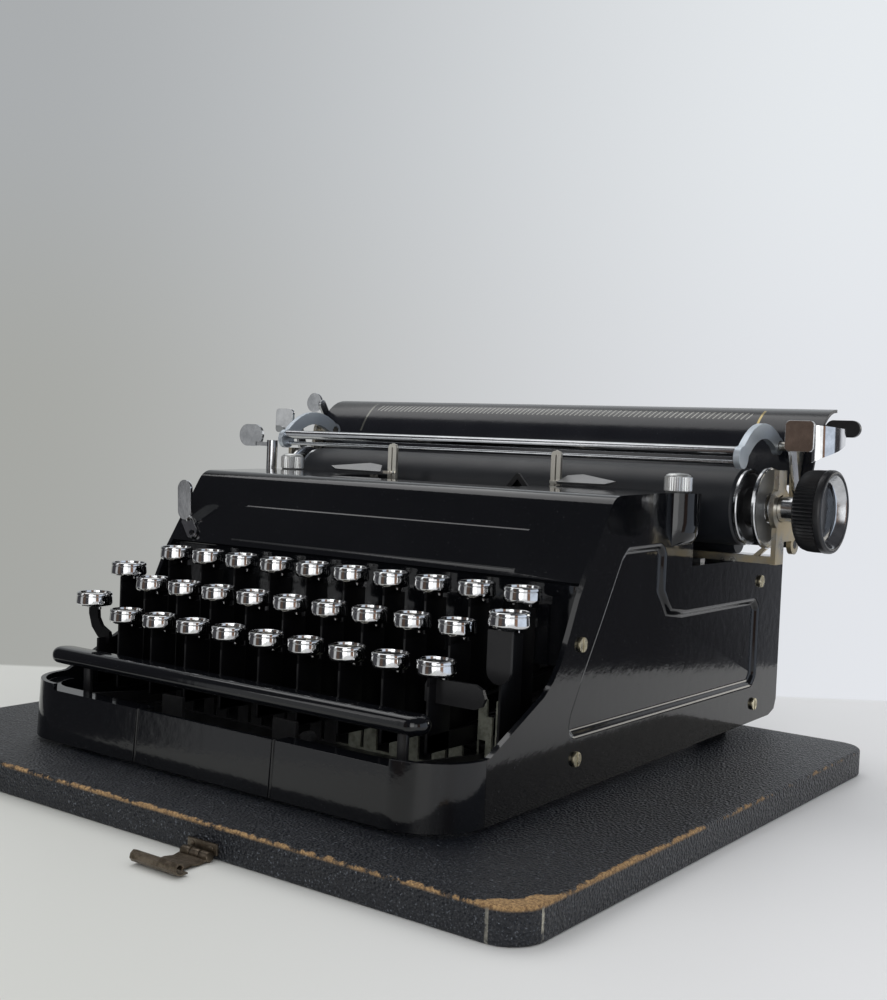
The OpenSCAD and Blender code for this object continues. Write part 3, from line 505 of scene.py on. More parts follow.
bm = bmesh.new()
halfW = boardLook["width"] / 2
frontY, backY = boardLook["front"], boardLook["front"] + boardLook["depth"]
rim = [bm.verts.new(v) for v in ((-halfW, frontY, -boardThick), (halfW, frontY, -boardThick),
                                 (halfW, backY, -boardThick), (-halfW, backY, -boardThick))]
bm.faces.new(rim)
bmesh.ops.bevel(bm, geom=rim, offset=boardLook["corner"], segments=10, affect="VERTICES", profile=0.5, material=-1)
grown = bmesh.ops.extrude_face_region(bm, geom=bm.faces[:])["geom"]
bmesh.ops.translate(bm, vec=(0, 0, boardThick), verts=[v for v in grown if isinstance(v, bmesh.types.BMVert)])
arris = [e for e in bm.edges if abs(e.verts[0].co.z - e.verts[1].co.z) < 0.1]
bmesh.ops.bevel(bm, geom=arris, offset=1.1, segments=4, affect="EDGES", profile=0.5, material=-1)
settle("case_board_cloth", bm, [leathercloth], "machine", ["case_board"])

bm = bmesh.new()
x, head, plate = latchLook["x"], latchLook["headHalf"], latchLook["plateHalf"]
block(bm, (x - plate, frontY - 0.8, -9.4), (x + plate, frontY + 0.2, -5.8), soften=0.3)
for side in latchLook["rivets"]:
    rod(bm, (x + side, frontY - 1.2, -7.4), (x + side, frontY, -7.4), 0.9, steps=16, soften=0.25)
settle("latch_plate", bm, [agedLatch], "machine")


def band(bm, path, width, thick):  # bent strip: a path in depth and height, swept along the width
    verts = [bm.verts.new((width[0], y, z)) for y, z in path]
    edges = [bm.edges.new(pair) for pair in zip(verts, verts[1:])]
    grown = bmesh.ops.extrude_edge_only(bm, edges=edges)["geom"]
    far = [v for v in grown if isinstance(v, bmesh.types.BMVert)]
    bmesh.ops.translate(bm, vec=(width[1] - width[0], 0, 0), verts=far)
    faces = [f for f in grown if isinstance(f, bmesh.types.BMFace)]
    bmesh.ops.recalc_face_normals(bm, faces=faces)
    bmesh.ops.solidify(bm, geom=faces, thickness=thick)


bm = bmesh.new()
strap, hingeY, hingeZ = latchLook["strapHalf"], latchLook["hingeY"], latchLook["hingeZ"]
for a, b in latchLook["knuckles"]:
    rod(bm, (x + a, hingeY, hingeZ), (x + b, hingeY, hingeZ), latchLook["hingeR"], steps=20, soften=0.3)
band(bm, latchLook["strapPath"], (x - strap, x + strap), 0.5)
band(bm, latchLook["curlPath"], (x - head, x + head), 0.45)
settle("latch_strap", bm, [agedLatch], "latch", ["latch_hasp"])

# pressed body: the side panels, the front wall and the hood
sideLook = {"face": 103, "field": 102.2, "spread": 0.95, "extra": 1.1, "ease": 0.85, "bossFoot": 84, "bossRound": 9}
frontLook = {"lean": 0.07, "foot": 1.6, "cornerY": -79, "corner": 22}
hoodLook = {"slopeTop": (-9.5, 97.5), "slopeLow": (-27.5, 68.5), "groove": 0.8, "proud": 0.8, "narrow": 1.2,
            "aside": 3.7, "panel": (74, 9, 4), "centre": 17.8}


def level(z):  # height over the board's top, as a height in the scene
    return (z + boardThick) * mm


def meanWay(faces):
    return sum((f.normal for f in faces), Vector()).normalized()


def pressSide(bm):  # gives the pressed field sloping walls, and rounds the boss off into the sheet at its foot
    faceX, fieldX = sideLook["face"] * mm, sideLook["field"] * mm

    def lies(vert, x): return abs(abs(vert.co.x) - x) < 2e-5
    walls = {f for f in bm.faces if {2 * lies(v, faceX) + lies(v, fieldX) for v in f.verts} == {1, 2}}
    for v in {v for f in walls for v in f.verts if lies(v, faceX)}:
        ways = [f for f in v.link_faces if f in walls]
        way = meanWay(ways)
        v.co -= way * sideLook["spread"] * mm / way.dot(ways[0].normal)
    field = [f for f in bm.faces if all(lies(v, fieldX) for v in f.verts)]
    bmesh.ops.inset_region(bm, faces=field, thickness=sideLook["spread"] * mm, depth=-sideLook["extra"] * mm,
                           use_even_offset=True)
    rims = {e for f in walls for e in f.edges if all(lies(v, faceX) for v in e.verts)}
    rims |= {e for f in field for e in f.edges if sum(g in field for g in e.link_faces) == 1}
    bmesh.ops.bevel(bm, geom=list(rims), offset=sideLook["ease"] * mm, segments=5, affect="EDGES", profile=0.5,
                    material=-1)
    foot, rounding = level(sideLook["bossFoot"]), sideLook["bossRound"] * mm
    for share in (0.08, 0.22, 0.4, 0.65, 1):
        boss = [f for f in bm.faces if min(abs(v.co.x) for v in f.verts) > faceX - 1e-5
                and max(abs(v.co.x) for v in f.verts) > faceX + 1e-4]
        parts = list({*boss, *(e for f in boss for e in f.edges), *(v for f in boss for v in f.verts)})
        bmesh.ops.bisect_plane(bm, geom=parts, plane_co=(0, 0, foot + rounding * share), plane_no=(0, 0, 1))
    for v in bm.verts:
        share = min(1, max(0.003, (v.co.z - foot) / rounding))
        if abs(v.co.x) > faceX + 1e-5:
            side = math.copysign(faceX, v.co.x)
            v.co.x = side + (v.co.x - side) * math.sqrt(1 - (1 - share) ** 2)


def leanBack(bm):  # the front wall leans back, and the lean fades out round the corners
    for v in bm.verts:
        share = min(1, max(0, (frontLook["cornerY"] * mm - v.co.y) / frontLook["corner"] / mm))
        v.co.y += frontLook["lean"] * (v.co.z - level(frontLook["foot"])) * share


def raisePanel(bm):  # the groove of the slope becomes the edge of a low plateau
    (topY, topZ), (lowY, lowZ) = hoodLook["slopeTop"], hoodLook["slopeLow"]
    run = Vector((0, lowY - topY, lowZ - topZ)).normalized()
    out = Vector((0, run.z, -run.y))
    top = Vector((0, topY * mm, level(topZ)))
    halfX, halfS, r = hoodLook["panel"]
    for v in bm.verts:
        height, along = (v.co - top).dot(out) / mm, (v.co - top).dot(run) / mm - hoodLook["centre"]
        offX, offS = abs(v.co.x) / mm - halfX + r, abs(along) - halfS + r
        inset = math.hypot(max(offX, 0), max(offS, 0)) + min(max(offX, offS), 0) - r
        if inset < 0.3 and -1 < height < 0.02:
            sunk = abs(height + hoodLook["groove"]) < 0.02
            if sunk and inset > -0.7:
                walls = [f for f in v.link_faces if abs(f.normal.dot(out)) < 0.1]
                v.co += meanWay(walls) * hoodLook["narrow"] * mm
            v.co += out * mm * (hoodLook["groove"] * sunk + hoodLook["proud"] * (sunk or inset < -0.7))
            v.co.x += hoodLook["aside"] * mm
    bmesh.ops.remove_doubles(bm, verts=bm.verts, dist=2e-5)
    bmesh.ops.recalc_face_normals(bm, faces=bm.faces)


for node, material, soften, angle, shape in (
        ("front_rail", enamel, 0.7, 32, leanBack), ("side_panel_left", enamel, 0.6, 32, pressSide),
        ("side_panel_right", enamel, 0.6, 32, pressSide), ("hood", enamel, 0.6, 52, raisePanel),
        ("rear_deck", enamel, 0.7, 32, None), ("base_pan", satin, 0.4, 32, None)):
    dressed(node, material, soften, 3, angle, shape)
dressed("feet", footRubber, 0.8, 3)
dressed("side_screws", brass, 0.25, 2)

nutLook = {"x": 100.3, "y": 48, "z": 104, "r": 5.4, "high": 7.5, "teeth": 36}
bm = bmesh.new()
for side in (-1, 1):
    centre = Vector((side * nutLook["x"], nutLook["y"], nutLook["z"]))
    ring = []
    for i in range(nutLook["teeth"] * 2):
        turn = math.tau * i / nutLook["teeth"] / 2
        r = nutLook["r"] - (0.26 if i % 2 else 0)
        ring.append(centre + Vector((math.cos(turn) * r, math.sin(turn) * r, 0.7)))
    sheetOf(bm, ring, (0, 0, nutLook["high"] - 2.2))
    turned(bm, [(0, 0), (0, 4.6), (0.7, 5.05), (nutLook["high"] - 1.5, 5.05), (nutLook["high"] - 0.8, 4.7),
                (nutLook["high"] - 0.2, 3.4), (nutLook["high"], 0)], centre, (0, 0, 1), 48)
settle("hood_nut_pair", bm, [knurled], "machine", ["hood_nuts"], sharp=40)
print("stage: board and body made")

# keys on flat stems, each with a lever back to the pivot
keyLook = {"pitch": 19.05, "shift": 3.36, "rowY": (-35.9, -51.4, -66.9), "rowTop": (71.8, 60.3, 48.8), "r": 6.75,
           "high": 5.4, "sideR": 7.2, "sideLift": 4.8, "stemFront": 4, "stemBack": 8, "stemFoot": 18.2, "lever": 1.2,
           "pivotEnd": ((110, 31), (113, 32), (114, 34), (113, 36.4), (110, 37.4)),
           "letters": ("QWERTYUIOP", "ASDFGHJKL", "ZXCVBNM,.")}
letterMeshes = {}


def letterMesh(sign):  # a key letter, made a mesh once and copied into each key
    if sign not in letterMeshes:
        curve = bpy.data.curves.new("letter", "FONT")
        curve.body, curve.size, curve.resolution_u = sign, 6.2, 3
        curve.align_x, curve.align_y = "CENTER", "CENTER"
        holder = bpy.data.objects.new("letter", curve)
        scene.collection.objects.link(holder)
        bpy.context.view_layer.update()
        letterMeshes[sign] = bpy.data.meshes.new_from_object(holder)
        bpy.data.objects.remove(holder)
    return letterMeshes[sign]


def keyCup(bm, x, y, top, r, sign=""):
    foot, high = top - keyLook["high"], keyLook["high"]
    profile = [(0, 0), (0, r - 1.0), (0.35, r - 0.35), (0.9, r - 0.06), (1.4, r), (high - 1.55, r - 0.22),
               (high - 1.4, r - 0.42), (high - 1.25, r - 0.42), (high - 1.05, r - 0.12), (high - 0.5, r - 0.14),
               (high - 0.14, r - 0.32),
               (high, r - 0.62), (high - 0.1, r - 0.92), (high - 0.75, r - 1.08)]
    turned(bm, profile, (x, y, foot), (0, 0, 1), 40)
    turned(bm, [(high - 0.75, r - 1.06), (high - 0.68, r - 1.75)], (x, y, foot), (0, 0, 1), 32, 3)
    turned(bm, [(high - 0.68, r - 1.75), (high - 0.5, r * 0.5), (high - 0.42, 0)], (x, y, foot), (0, 0, 1), 32, 2)
    for side in (-1, 1):  # the two tongues that hold the cup to its stem
        tongueX = x + side * r * 0.45
        block(bm, (tongueX - 0.8, y - 0.4, foot - 1.3), (tongueX + 0.8, y + 0.4, foot + 0.3), 0, 0.2)
    if sign:
        before = set(bm.verts)
        bm.from_mesh(letterMesh(sign))
        made = [v for v in bm.verts if v not in before]
        bmesh.ops.translate(bm, vec=(x, y, top - 0.38), verts=made)
        paint(made, 3)


def lever(bm, x, y):  # bar from the stem back to the pivot rod
    thick, front = keyLook["lever"], y - keyLook["stemFront"]
    outline = [(front, 18), (y + 30, 18), *keyLook["pivotEnd"], (y + 30, 24), (front, 24)]
    sheetOf(bm, [(x - thick / 2, b, c) for b, c in outline], (thick, 0, 0), 1)


def stem(bm, x, y, top, r):
    foot, half, front, low = top - keyLook["high"], keyLook["lever"] / 2, y - keyLook["stemFront"], keyLook["stemFoot"]
    block(bm, (x - half, front, low), (x + half, y + keyLook["stemBack"], foot - 2.6), 1, 0.22)
    block(bm, (x - half * 0.6, front - 0.08, low + 0.4), (x + half * 0.6, front + 0.1, foot - 3.4), 4)
    block(bm, (x - half * 0.98, front, foot - 3.2), (x + half * 0.98, y + r - 1, foot + 0.2), 1, 0.22)


def keyPiece(node, bm):
    settle(node + "_key", bm, [chrome, stemBlack, glass, legend, satin], node, [node], sharp=32)


for row, name in enumerate("abc"):
    for i, sign in enumerate(keyLook["letters"][row]):
        x = -4.5 * keyLook["pitch"] + keyLook["shift"] * row + keyLook["pitch"] * i
        y, top = keyLook["rowY"][row], keyLook["rowTop"][row]
        bm = bmesh.new()
        keyCup(bm, x, y, top, keyLook["r"], sign)
        stem(bm, x, y, top, keyLook["r"])
        lever(bm, x, y)
        if name == "c" and i == 8:  # this stem carries a rounded plate that reaches to the right
            plate = [(x - 4, 34.5), (x - 1.5, 34.5), (x + 16, 34.5), (x + 18.9, 35.8), (x + 20, 38.5), (x + 18.9, 41.2),
                     (x + 16, 42.5), (x, 42.5), (x - 3, 42), (x - 4, 40)]
            sheetOf(bm, [(a, y + 1, c) for a, c in plate], (0, -1.4, 0), 4)
        keyPiece(f"key_{name}{i + 1}", bm)


def roundedTag(x, low, high, half):  # outline in width and height, round at the bottom
    arc = [(x - half * math.cos(math.pi * k / 10), low + half - half * math.sin(math.pi * k / 10)) for k in range(11)]
    return arc + [(x + half, high), (x - half, high)]


for node, x in (("left_shift_key", -97), ("right_shift_key", 91)):
    y, top = keyLook["rowY"][1], keyLook["rowTop"][1] + keyLook["sideLift"]
    bm = bmesh.new()
    keyCup(bm, x, y, top, keyLook["sideR"])
    stem(bm, x, y, top, keyLook["sideR"])
    lever(bm, x, y)
    if node == "right_shift_key":
        sheetOf(bm, [(a, y - 3.5, c) for a, c in roundedTag(x - 0.5, 41.3, top - 6, 4.7)], (0, -1.2, 0), 4)
    keyPiece(node, bm)

bm = bmesh.new()
lockX, lockLever, y, top = -99.055, -91.5, keyLook["rowY"][2], keyLook["rowTop"][2] + keyLook["sideLift"]
keyCup(bm, lockX, y, top, keyLook["sideR"])
foot = top - keyLook["high"]
outer = [(lockX - 2.6, foot + 0.2), (lockX - 2.5, foot - 3.5), (lockX - 0.6, foot - 8.6), (lockX + 3.4, foot - 12.4),
         (lockLever + 2, foot - 14.6), (lockLever + 3, foot - 12), (lockLever + 2.4, foot - 9.8),
         (lockX + 5.2, foot - 7.6), (lockX + 3.1, foot - 4.6), (lockX + 2.6, foot + 0.2)]
sheetOf(bm, [(a, y + 1, c) for a, c in outer], (0, -1.6, 0), 1)
halfLever = keyLook["lever"] / 2
block(bm, (lockLever - halfLever, y - 4, keyLook["stemFoot"]), (lockLever + halfLever, y + 4, foot - 12), 1, 0.2)
lever(bm, lockLever, y)
keyPiece("shift_lock_key", bm)

barLook = {"half": 90.5, "x": -4.5, "deep": 11, "y": -87, "z": 28.5, "thick": 6, "postX": 76.5}
bm = bmesh.new()
endX, r = barLook["half"] - barLook["deep"] / 2, barLook["deep"] / 2
stadium = [(endX + r * math.sin(math.pi * k / 14), barLook["y"] - r * math.cos(math.pi * k / 14)) for k in range(15)]
stadium += [(-a, 2 * barLook["y"] - b) for a, b in stadium]
face = bm.faces.new([bm.verts.new((a + barLook["x"], b, barLook["z"])) for a, b in stadium])
grown = bmesh.ops.extrude_face_region(bm, geom=[face])["geom"]
topVerts = [v for v in grown if isinstance(v, bmesh.types.BMVert)]
bmesh.ops.translate(bm, vec=(0, 0, barLook["thick"]), verts=topVerts)
topEdges = [e for e in bm.edges if all(v in topVerts for v in e.verts)]
lowEdges = [e for e in bm.edges if not any(v in topVerts for v in e.verts)]
bmesh.ops.bevel(bm, geom=topEdges, offset=2.8, segments=6, affect="EDGES", profile=0.5, material=-1)
lowEdges = [e for e in lowEdges if e.is_valid]
bmesh.ops.bevel(bm, geom=lowEdges, offset=2.4, segments=5, affect="EDGES", profile=0.5, material=-1)
for side in (-1, 1):
    x = side * barLook["postX"]
    block(bm, (x - 1.9, barLook["y"] - 0.8, 13), (x + 1.9, barLook["y"] + 0.8, 29), 1, 0.25)
    block(bm, (x - 3.8, barLook["y"] - 0.8, 13), (x + 3.8, barLook["y"] + 0.8, 16), 1, 0.25)
    arm = [(barLook["y"] + 0.5, 14), (barLook["y"] + 2, 13.8), (-20, 7.6), (-18, 8.6), (-17.8, 11), (-19.6, 12),
           (barLook["y"] + 2, 18.2), (barLook["y"] + 0.5, 18)]
    sheetOf(bm, [(x - 0.6, b, c) for b, c in arm], (1.2, 0, 0), 1)
rod(bm, (-78.5, -20, 9.8), (82.5, -20, 9.8), 1.5, 1, 20)
settle("space_bar_whole", bm, [enamel, satin], "space_bar", ["space_bar"])
print("stage: keys made")

# platen between its end plates, with the ratchet disc at the right
platenLook = {"y": 80, "z": 99, "half": 110.5, "r": 15.5, "hubR": 8, "shaftR": 5, "push": 4.5}
axisAt = (0, platenLook["y"], platenLook["z"])
bm = bmesh.new()
h, r, hub, shaft = platenLook["half"], platenLook["r"], platenLook["hubR"], platenLook["shaftR"]
e = h + platenLook["push"]  # the rubber and its end plates reach further out at the right
turned(bm, [(-h, 0), (-h, r - 1.2), (-h + 0.3, r - 0.5), (-h + 1, r), (e - 1, r), (e - 0.3, r - 0.5), (e, r - 1.2),
            (e, 0)], axisAt, (1, 0, 0), 96)
settle("platen_rubber", bm, [rubber], "platen", ["platen"])
bm = bmesh.new()
for side, e in ((1, e), (-1, h)):
    turned(bm, [(e - 0.2, 0), (e - 0.2, 14.2), (e + 0.3, 14.9), (e + 1.4, 15.1), (e + 1.8, 14.8), (e + 1.9, 13.4)],
           axisAt, (side, 0, 0), 96)
    turned(bm, [(e + 1.9, 13.4), (e + 1.1, 13), (e + 1.1, hub + 0.6), (e + 1.5, hub), (e + 8, hub)],
           axisAt, (side, 0, 0), 96, 1)
    turned(bm, [(e + 8, hub), (e + 8, 15.4), (e + 8.3, 15.9), (e + 9.3, 16), (e + 9.7, 15.7), (e + 9.8, 15.2)],
           axisAt, (side, 0, 0), 96)
    turned(bm, [(e + 9.8, 15.2), (e + 9.5, 14.7), (e + 9.5, hub - 2)], axisAt, (side, 0, 0), 96, 2)
    turned(bm, [(e + 9.5, hub - 2), (e + 10.1, hub - 2.4), (e + 10.4, shaft), (h + 18.7, shaft), (h + 18.7, 0)],
           axisAt, (side, 0, 0), 96)
rod(bm, (129, *axisAt[1:]), (138.3, *axisAt[1:]), shaft, 0, 48)
settle("platen_ends", bm, [nickel, satin, satinSteel], "platen")

# hard black knob with a ribbed grip, a plated rim and a dished face
knobLook = {"x": 138, "long": 12.5, "r": 16, "ribs": 66, "rim": 3.3, "deep": 4.6}
bm = bmesh.new()
x0, long, r = knobLook["x"], knobLook["long"], knobLook["r"]
rings = []
for far, swell in ((1.0, 0.93), (1.6, 0.955), (3.2, 0.985), (5.4, 0.995), (long - knobLook["rim"], 0.995)):
    rings.append([])
    for i in range(knobLook["ribs"] * 2):
        turn = math.tau * i / knobLook["ribs"] / 2
        rr = (r - (0.85 if i % 2 else 0.1)) * swell
        rings[-1].append((x0 + far, 80 + math.cos(turn) * rr, 99 + math.sin(turn) * rr))
joined(bm, rings)
knobAt = (x0, *axisAt[1:])
turned(bm, [(0, 0), (0, r - 3.4), (0.4, r - 2.4), (1.2, r - 1.7), (1.4, r - 2.4)], knobAt, (1, 0, 0), 96)
turned(bm, [(long - 3.4, r - 1.6), (long - 3.3, r - 0.5), (long - 2.9, r), (long - 1.1, r), (long - 0.4, r - 0.3),
            (long, r - 1.0), (long - 0.1, r - 1.7), (long - 0.4, r - 2.1)], knobAt, (1, 0, 0), 96)
turned(bm, [(long - 0.4, r - 2.1), (long - 0.9, r - 2.5), (long - 3.4, r - 4.0), (long - 3.9, r - 4.6)],
       knobAt, (1, 0, 0), 96, 1)
dish = long - knobLook["deep"]
turned(bm, [(long - 3.9, r - 4.6), (long - 4.3, r - 6.5), (dish, r - 10), (dish, 0)], knobAt, (1, 0, 0), 96, 2)
settle("platen_knob_turned", bm, [knobBlack, nickel, enamel], "platen", ["platen_knob"], sharp=38)

# bent wing behind the right release tab, drawn from above and rising as it goes back
wingLook = {"low": 117.5, "high": 132, "thick": 1.1, "rise": 1.2,
            "path": ((140.4, 79.3), (142.6, 79.6), (144.9, 81.6), (146.4, 85.2), (147, 90), (146.8, 95), (146, 100))}
bm = bmesh.new()
verts = [bm.verts.new((a, b, wingLook["low"] + wingLook["rise"] * i)) for i, (a, b) in enumerate(wingLook["path"])]
edges = [bm.edges.new(pair) for pair in zip(verts, verts[1:])]
grown = bmesh.ops.extrude_edge_only(bm, edges=edges)["geom"]
for v in grown:
    if isinstance(v, bmesh.types.BMVert):
        v.co.z = wingLook["high"] - (v.co.z - wingLook["low"]) * 0.15
faces = [f for f in grown if isinstance(f, bmesh.types.BMFace)]
bmesh.ops.recalc_face_normals(bm, faces=faces)
bmesh.ops.solidify(bm, geom=faces, thickness=wingLook["thick"])
settle("release_wing", bm, [chrome], "carriage_release", sharp=40)

for node, material, soften in (("carriage_frame", frameMetal, 0.35), ("paper_table", tableEnamel, 0.4),
                               ("line_space_lever", nickel, 0.35), ("carriage_release", chrome, 0.4),
                               ("paper_release", satin, 0.6), ("paper_release_leaf", nickel, 0.4),
                               ("ribbon_lever", chrome, 0.35)):
    dressed(node, material, soften, 2)


bailLook = {"armsFrom": 117.2}


def bailRecipe(g):  # bright rods between silvered arms
    p = g.place()
    arms = abs(g.axes(p)[0]) > bailLook["armsFrom"] * mm
    grain = g.noise(p, 1400, 4, 0.6)
    stain = g.noise(p, 110, 4)
    lines = g.noise(g.mapped(p, (0.02, 1, 1)), 900, 3)
    rodTone = g.mixed(stain, (0.34, 0.35, 0.365), (0.60, 0.61, 0.625))
    armTone = g.mixed(stain, (0.50, 0.56, 0.62), (0.66, 0.71, 0.76))
    return {"Base Color": g.mixed(arms, rodTone, armTone), "Metallic": 1 - arms * 0.2,
            "Roughness": 0.10 + lines * 0.06 + arms * (0.24 + grain * 0.12), "Normal": g.bumped(grain, 0.18, 0.00012)}


dressed("paper_bail", finish("bailMetal", bailRecipe), 0.5, 3)


basketLook = {"archX": 24.4, "fingerX": 43}


def basketRecipe(g):  # steel inside, painted dark as shade below the hood's top; cream-bright nickel fingers, dull leaves and a black arch over the hood
    p = g.place()
    x, y, z = g.axes(p)
    shown = z.ramp(0.1125, 0.1140)
    arch = (abs(x - basketLook["archX"] * mm) < 0.012) * (z > 0.106)
    leaf = (abs(x) > 0.0455) * (z > 0.1150)
    stain = g.noise(p, 150, 5, 0.6)
    # painted shade: below the hood's top the basket is painted dark, where it stands in the hood's shade
    innerShade = g.mixed(stain, (0.06, 0.06, 0.065), (0.16, 0.16, 0.165))
    outer = g.mixed(stain, (0.74, 0.71, 0.62), (0.86, 0.84, 0.77))
    outer = g.mixed(leaf, outer, g.mixed(stain, (0.16, 0.165, 0.17), (0.30, 0.30, 0.30)))
    return {"Base Color": g.mixed(arch, g.mixed(shown, innerShade, outer), (0.006, 0.006, 0.007)),
            "Metallic": 0.9 - arch * 0.9,
            "Roughness": 0.22 + stain * 0.2 + leaf * 0.1, "Normal": g.bumped(g.noise(p, 1200, 3), 0.12, 0.0001)}


def widenArch(bm):  # the arch between the fingers stands wider, and the fingers' slots are narrow
    archX, fingerX = basketLook["archX"] * mm, basketLook["fingerX"] * mm
    for v in bm.verts:
        if abs(v.co.x - archX) < 0.009 and v.co.z > 0.1062:
            v.co.x = archX + (v.co.x - archX) * 1.5
        for side in (-fingerX, fingerX):
            if abs(v.co.x - side) < 0.00115 and v.co.z > level(98):
                v.co.x = side + (v.co.x - side) * 0.3


dressed("type_basket", finish("basketSteel", basketRecipe), 0.25, 2, 32, widenArch)
for node, material in (("lever_guides", combPaint), ("ribbon_spool_left", spoolBlack),
                       ("ribbon_spool_right", spoolBlack), ("carriage_rails", steel), ("feed_roller", rubber),
                       ("drive_unit", steel)):
    nodes[node].data.materials.clear()
    nodes[node].data.materials.append(material)
print("stage: carriage made,", len(pieces), "pieces")

# the table ends at its right, front and rear edges for reflections only, and the dark room shows beyond
# the floor's colour runs from darker at the left to brighter at the right: a painted fall of light
floorLook = {"left": (0.70, 0.705, 0.67), "right": (0.86, 0.86, 0.87), "seam": 0.709, "rightEdge": 0.391,
             "edgeSlant": 0.526, "frontEdge": -0.295, "frontSlant": 0.75, "rearEdge": -0.2}
# the backdrop brightens from left to right and changes towards the floor: a painted fall of light
wallLook = {"left": (0.40, 0.415, 0.425), "right": (0.80, 0.83, 0.86), "lowLeft": (0.38, 0.386, 0.366),
            "lowRight": (0.77, 0.79, 0.83), "fill": 0.72}
# what shines in the metal: bands of the room, by their direction in degrees from the front towards the left
# (from, to, softness, colour), a ceiling that goes dark between two rises in degrees, and one bright pane
# (from, to, the sines of its lowest and highest rise, colour)
roomLook = {"dark": (0.06, 0.06, 0.066), "ceiling": (18, 30), "pane": (-161, -145, 0.07, 0.24, (3.0, 2.9, 2.7)),
            "bands": ((-200, -168, 15, (0.60, 0.62, 0.68)), (-134, -79, 4, (0.72, 0.80, 0.93)),
                      (-76, -63, 2, (0.28, 0.17, 0.12)), (-58, -15, 3, (1.40, 1.41, 1.43)),
                      (9, 25, 3, (0.105, 0.075, 0.06)), (31, 45, 4, (0.52, 0.53, 0.54)))}
onFloor = Vector((-math.sin(yaw), math.cos(yaw), 0))  # level direction in which the camera looks
cameraAt = Vector(cameraLook["at"])


# the backdrop's colour, with the painted fall of light from left to right and by height
def wallTone(g, share, height):
    low = g.mixed(share, wallLook["lowLeft"], wallLook["lowRight"])
    return g.mixed(height, low, g.mixed(share, wallLook["left"], wallLook["right"]))


def seen(g):  # 1 for rays that should show the backdrop
    path = g.tree.nodes.new("ShaderNodeLightPath")
    parts = [Signal(g, path.outputs[k]) for k in ("Is Camera Ray", "Is Glossy Ray", "Is Transmission Ray")]
    return parts[0], parts[0].most(parts[1]).most(parts[2])


bm = bmesh.new()
bmesh.ops.create_grid(bm, x_segments=1, y_segments=1, size=4)
mesh = bpy.data.meshes.new("floor")
bm.to_mesh(mesh)
bm.free()
floor = bpy.data.objects.new("floor", mesh)
scene.collection.objects.link(floor)
floorPaint = bpy.data.materials.new("floorPaint")
floorPaint.use_nodes = True
g = Graph(floorPaint.node_tree)
p = g.place()
px, py = g.axes(p)[:2]
depth = g.dot(p, tuple(onFloor)) - cameraAt.dot(onFloor)
aside = g.dot(p, tuple(across)) - cameraAt.dot(across)
share = (aside / depth.most(0.05)).ramp(-0.36, 0.36)
beyond = depth.ramp(floorLook["seam"] - 0.004, floorLook["seam"] + 0.004)
cameraRay, backdrop = seen(g)
pastRight = px + py * floorLook["edgeSlant"] > floorLook["rightEdge"]
pastFront = (px * floorLook["frontSlant"] + py - floorLook["frontEdge"]) < 0
offTable = pastRight.most(pastFront).most(depth < floorLook["rearEdge"])
lightFallTone = g.mixed(share, floorLook["left"], floorLook["right"])
mottle = g.noise(p, 14, 4)
paper = g.node("ShaderNodeBsdfPrincipled", None,
               {"Base Color": g.mixed(mottle * 0.06, lightFallTone, (0.55, 0.55, 0.54)), "Roughness": 0.42 + mottle * 0.1,
                "Specular IOR Level": 0.3})
wall = g.node("ShaderNodeEmission", None, {"Color": wallTone(g, share, 0.0), "Strength": 1.0})
clear = g.node("ShaderNodeBsdfTransparent")
surface = g.node("ShaderNodeMixShader", None, {0: beyond * backdrop, 1: paper, 2: wall})
surface = g.node("ShaderNodeMixShader", None, {0: offTable * (backdrop - cameraRay), 1: surface, 2: clear})
g.node("ShaderNodeOutputMaterial", None, {0: surface})
mesh.materials.append(floorPaint)

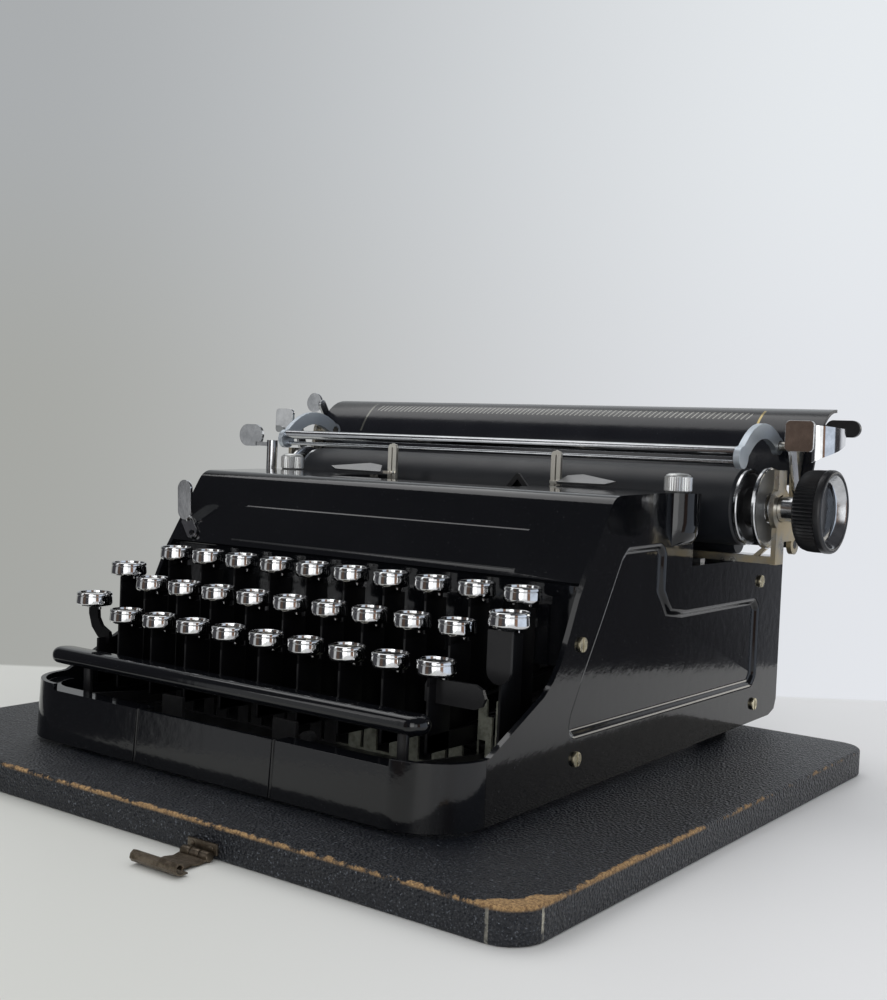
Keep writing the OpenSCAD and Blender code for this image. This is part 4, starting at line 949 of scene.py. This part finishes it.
world = bpy.data.worlds.new("room")
scene.world = world
world.use_nodes = True
g = Graph(world.node_tree)
d = g.place("Generated")
forward, sideways, up = g.dot(d, tuple(onFloor)), g.dot(d, tuple(across)), g.axes(d)[2]
share = (sideways / forward.most(0.05)).ramp(-0.36, 0.36)
cameraRay, backdrop = seen(g)
lightFallTone = wallTone(g, share, up.ramp(0.0, 0.25))
shine = (forward.ramp(0.50, 0.70) * (1 - up.ramp(0.62, 0.9) * 0.75)).most(cameraRay * forward.ramp(0.0, 0.1))
eastward, northward = g.axes(d)[:2]
turn = (eastward * -1).maths("ARCTAN2", northward * -1) * (180 / math.pi)
room = roomLook["dark"]
for low, high, soft, colour in roomLook["bands"]:
    room = g.mixed(turn.ramp(low - soft, low) * (1 - turn.ramp(high, high + soft)), room, colour)
lowRise, highRise = (math.sin(math.radians(rise)) for rise in roomLook["ceiling"])
room = g.mixed(up.ramp(lowRise, highRise), room, roomLook["dark"])
leftEnd, rightEnd, lowEnd, highEnd, paneTone = roomLook["pane"]
pane = turn.ramp(leftEnd - 2, leftEnd) * (1 - turn.ramp(rightEnd, rightEnd + 2)) * up.ramp(lowEnd - 0.02, lowEnd)
lit = g.mixed(shine, room, lightFallTone)
lit = g.mixed(pane * (1 - up.ramp(highEnd, highEnd + 0.03)) * (1 - cameraRay), lit, paneTone)
picture = g.node("ShaderNodeBackground", None, {"Color": lit, "Strength": 1.0})
fill = g.node("ShaderNodeBackground", None, {"Color": (0.98, 0.99, 1.0), "Strength": wallLook["fill"]})
surface = g.node("ShaderNodeMixShader", None, {0: backdrop, 1: fill, 2: picture})
g.node("ShaderNodeOutputWorld", None, {0: surface})

lampLook = {"frontBox": {"turn": 14, "rise": 16, "far": 1.7, "size": (0.75, 1.3), "watts": 4.2},
            "topBox": {"turn": 150, "rise": 62, "far": 1.5, "size": (1.0, 1.0), "watts": 5.0},
            "leftBox": {"turn": 75, "rise": 30, "far": 1.8, "size": (0.35, 1.0), "watts": 1.4}}
towardsCamera = math.atan2(cameraAt.y, cameraAt.x)
for name, look in lampLook.items():
    turn, rise = towardsCamera - math.radians(look["turn"]), math.radians(look["rise"])
    way = Vector((math.cos(turn) * math.cos(rise), math.sin(turn) * math.cos(rise), math.sin(rise)))
    lamp = bpy.data.lights.new(name, "AREA")
    lamp.shape, lamp.size, lamp.size_y, lamp.energy = "RECTANGLE", look["size"][0], look["size"][1], look["watts"]
    holder = bpy.data.objects.new(name, lamp)
    holder.rotation_euler = way.to_track_quat("Z", "Y").to_euler()
    holder.location = way * look["far"] + Vector((0, 0, 0.07))
    scene.collection.objects.link(holder)
scene.view_settings.view_transform = "Standard"
print("stage: floor and light set")
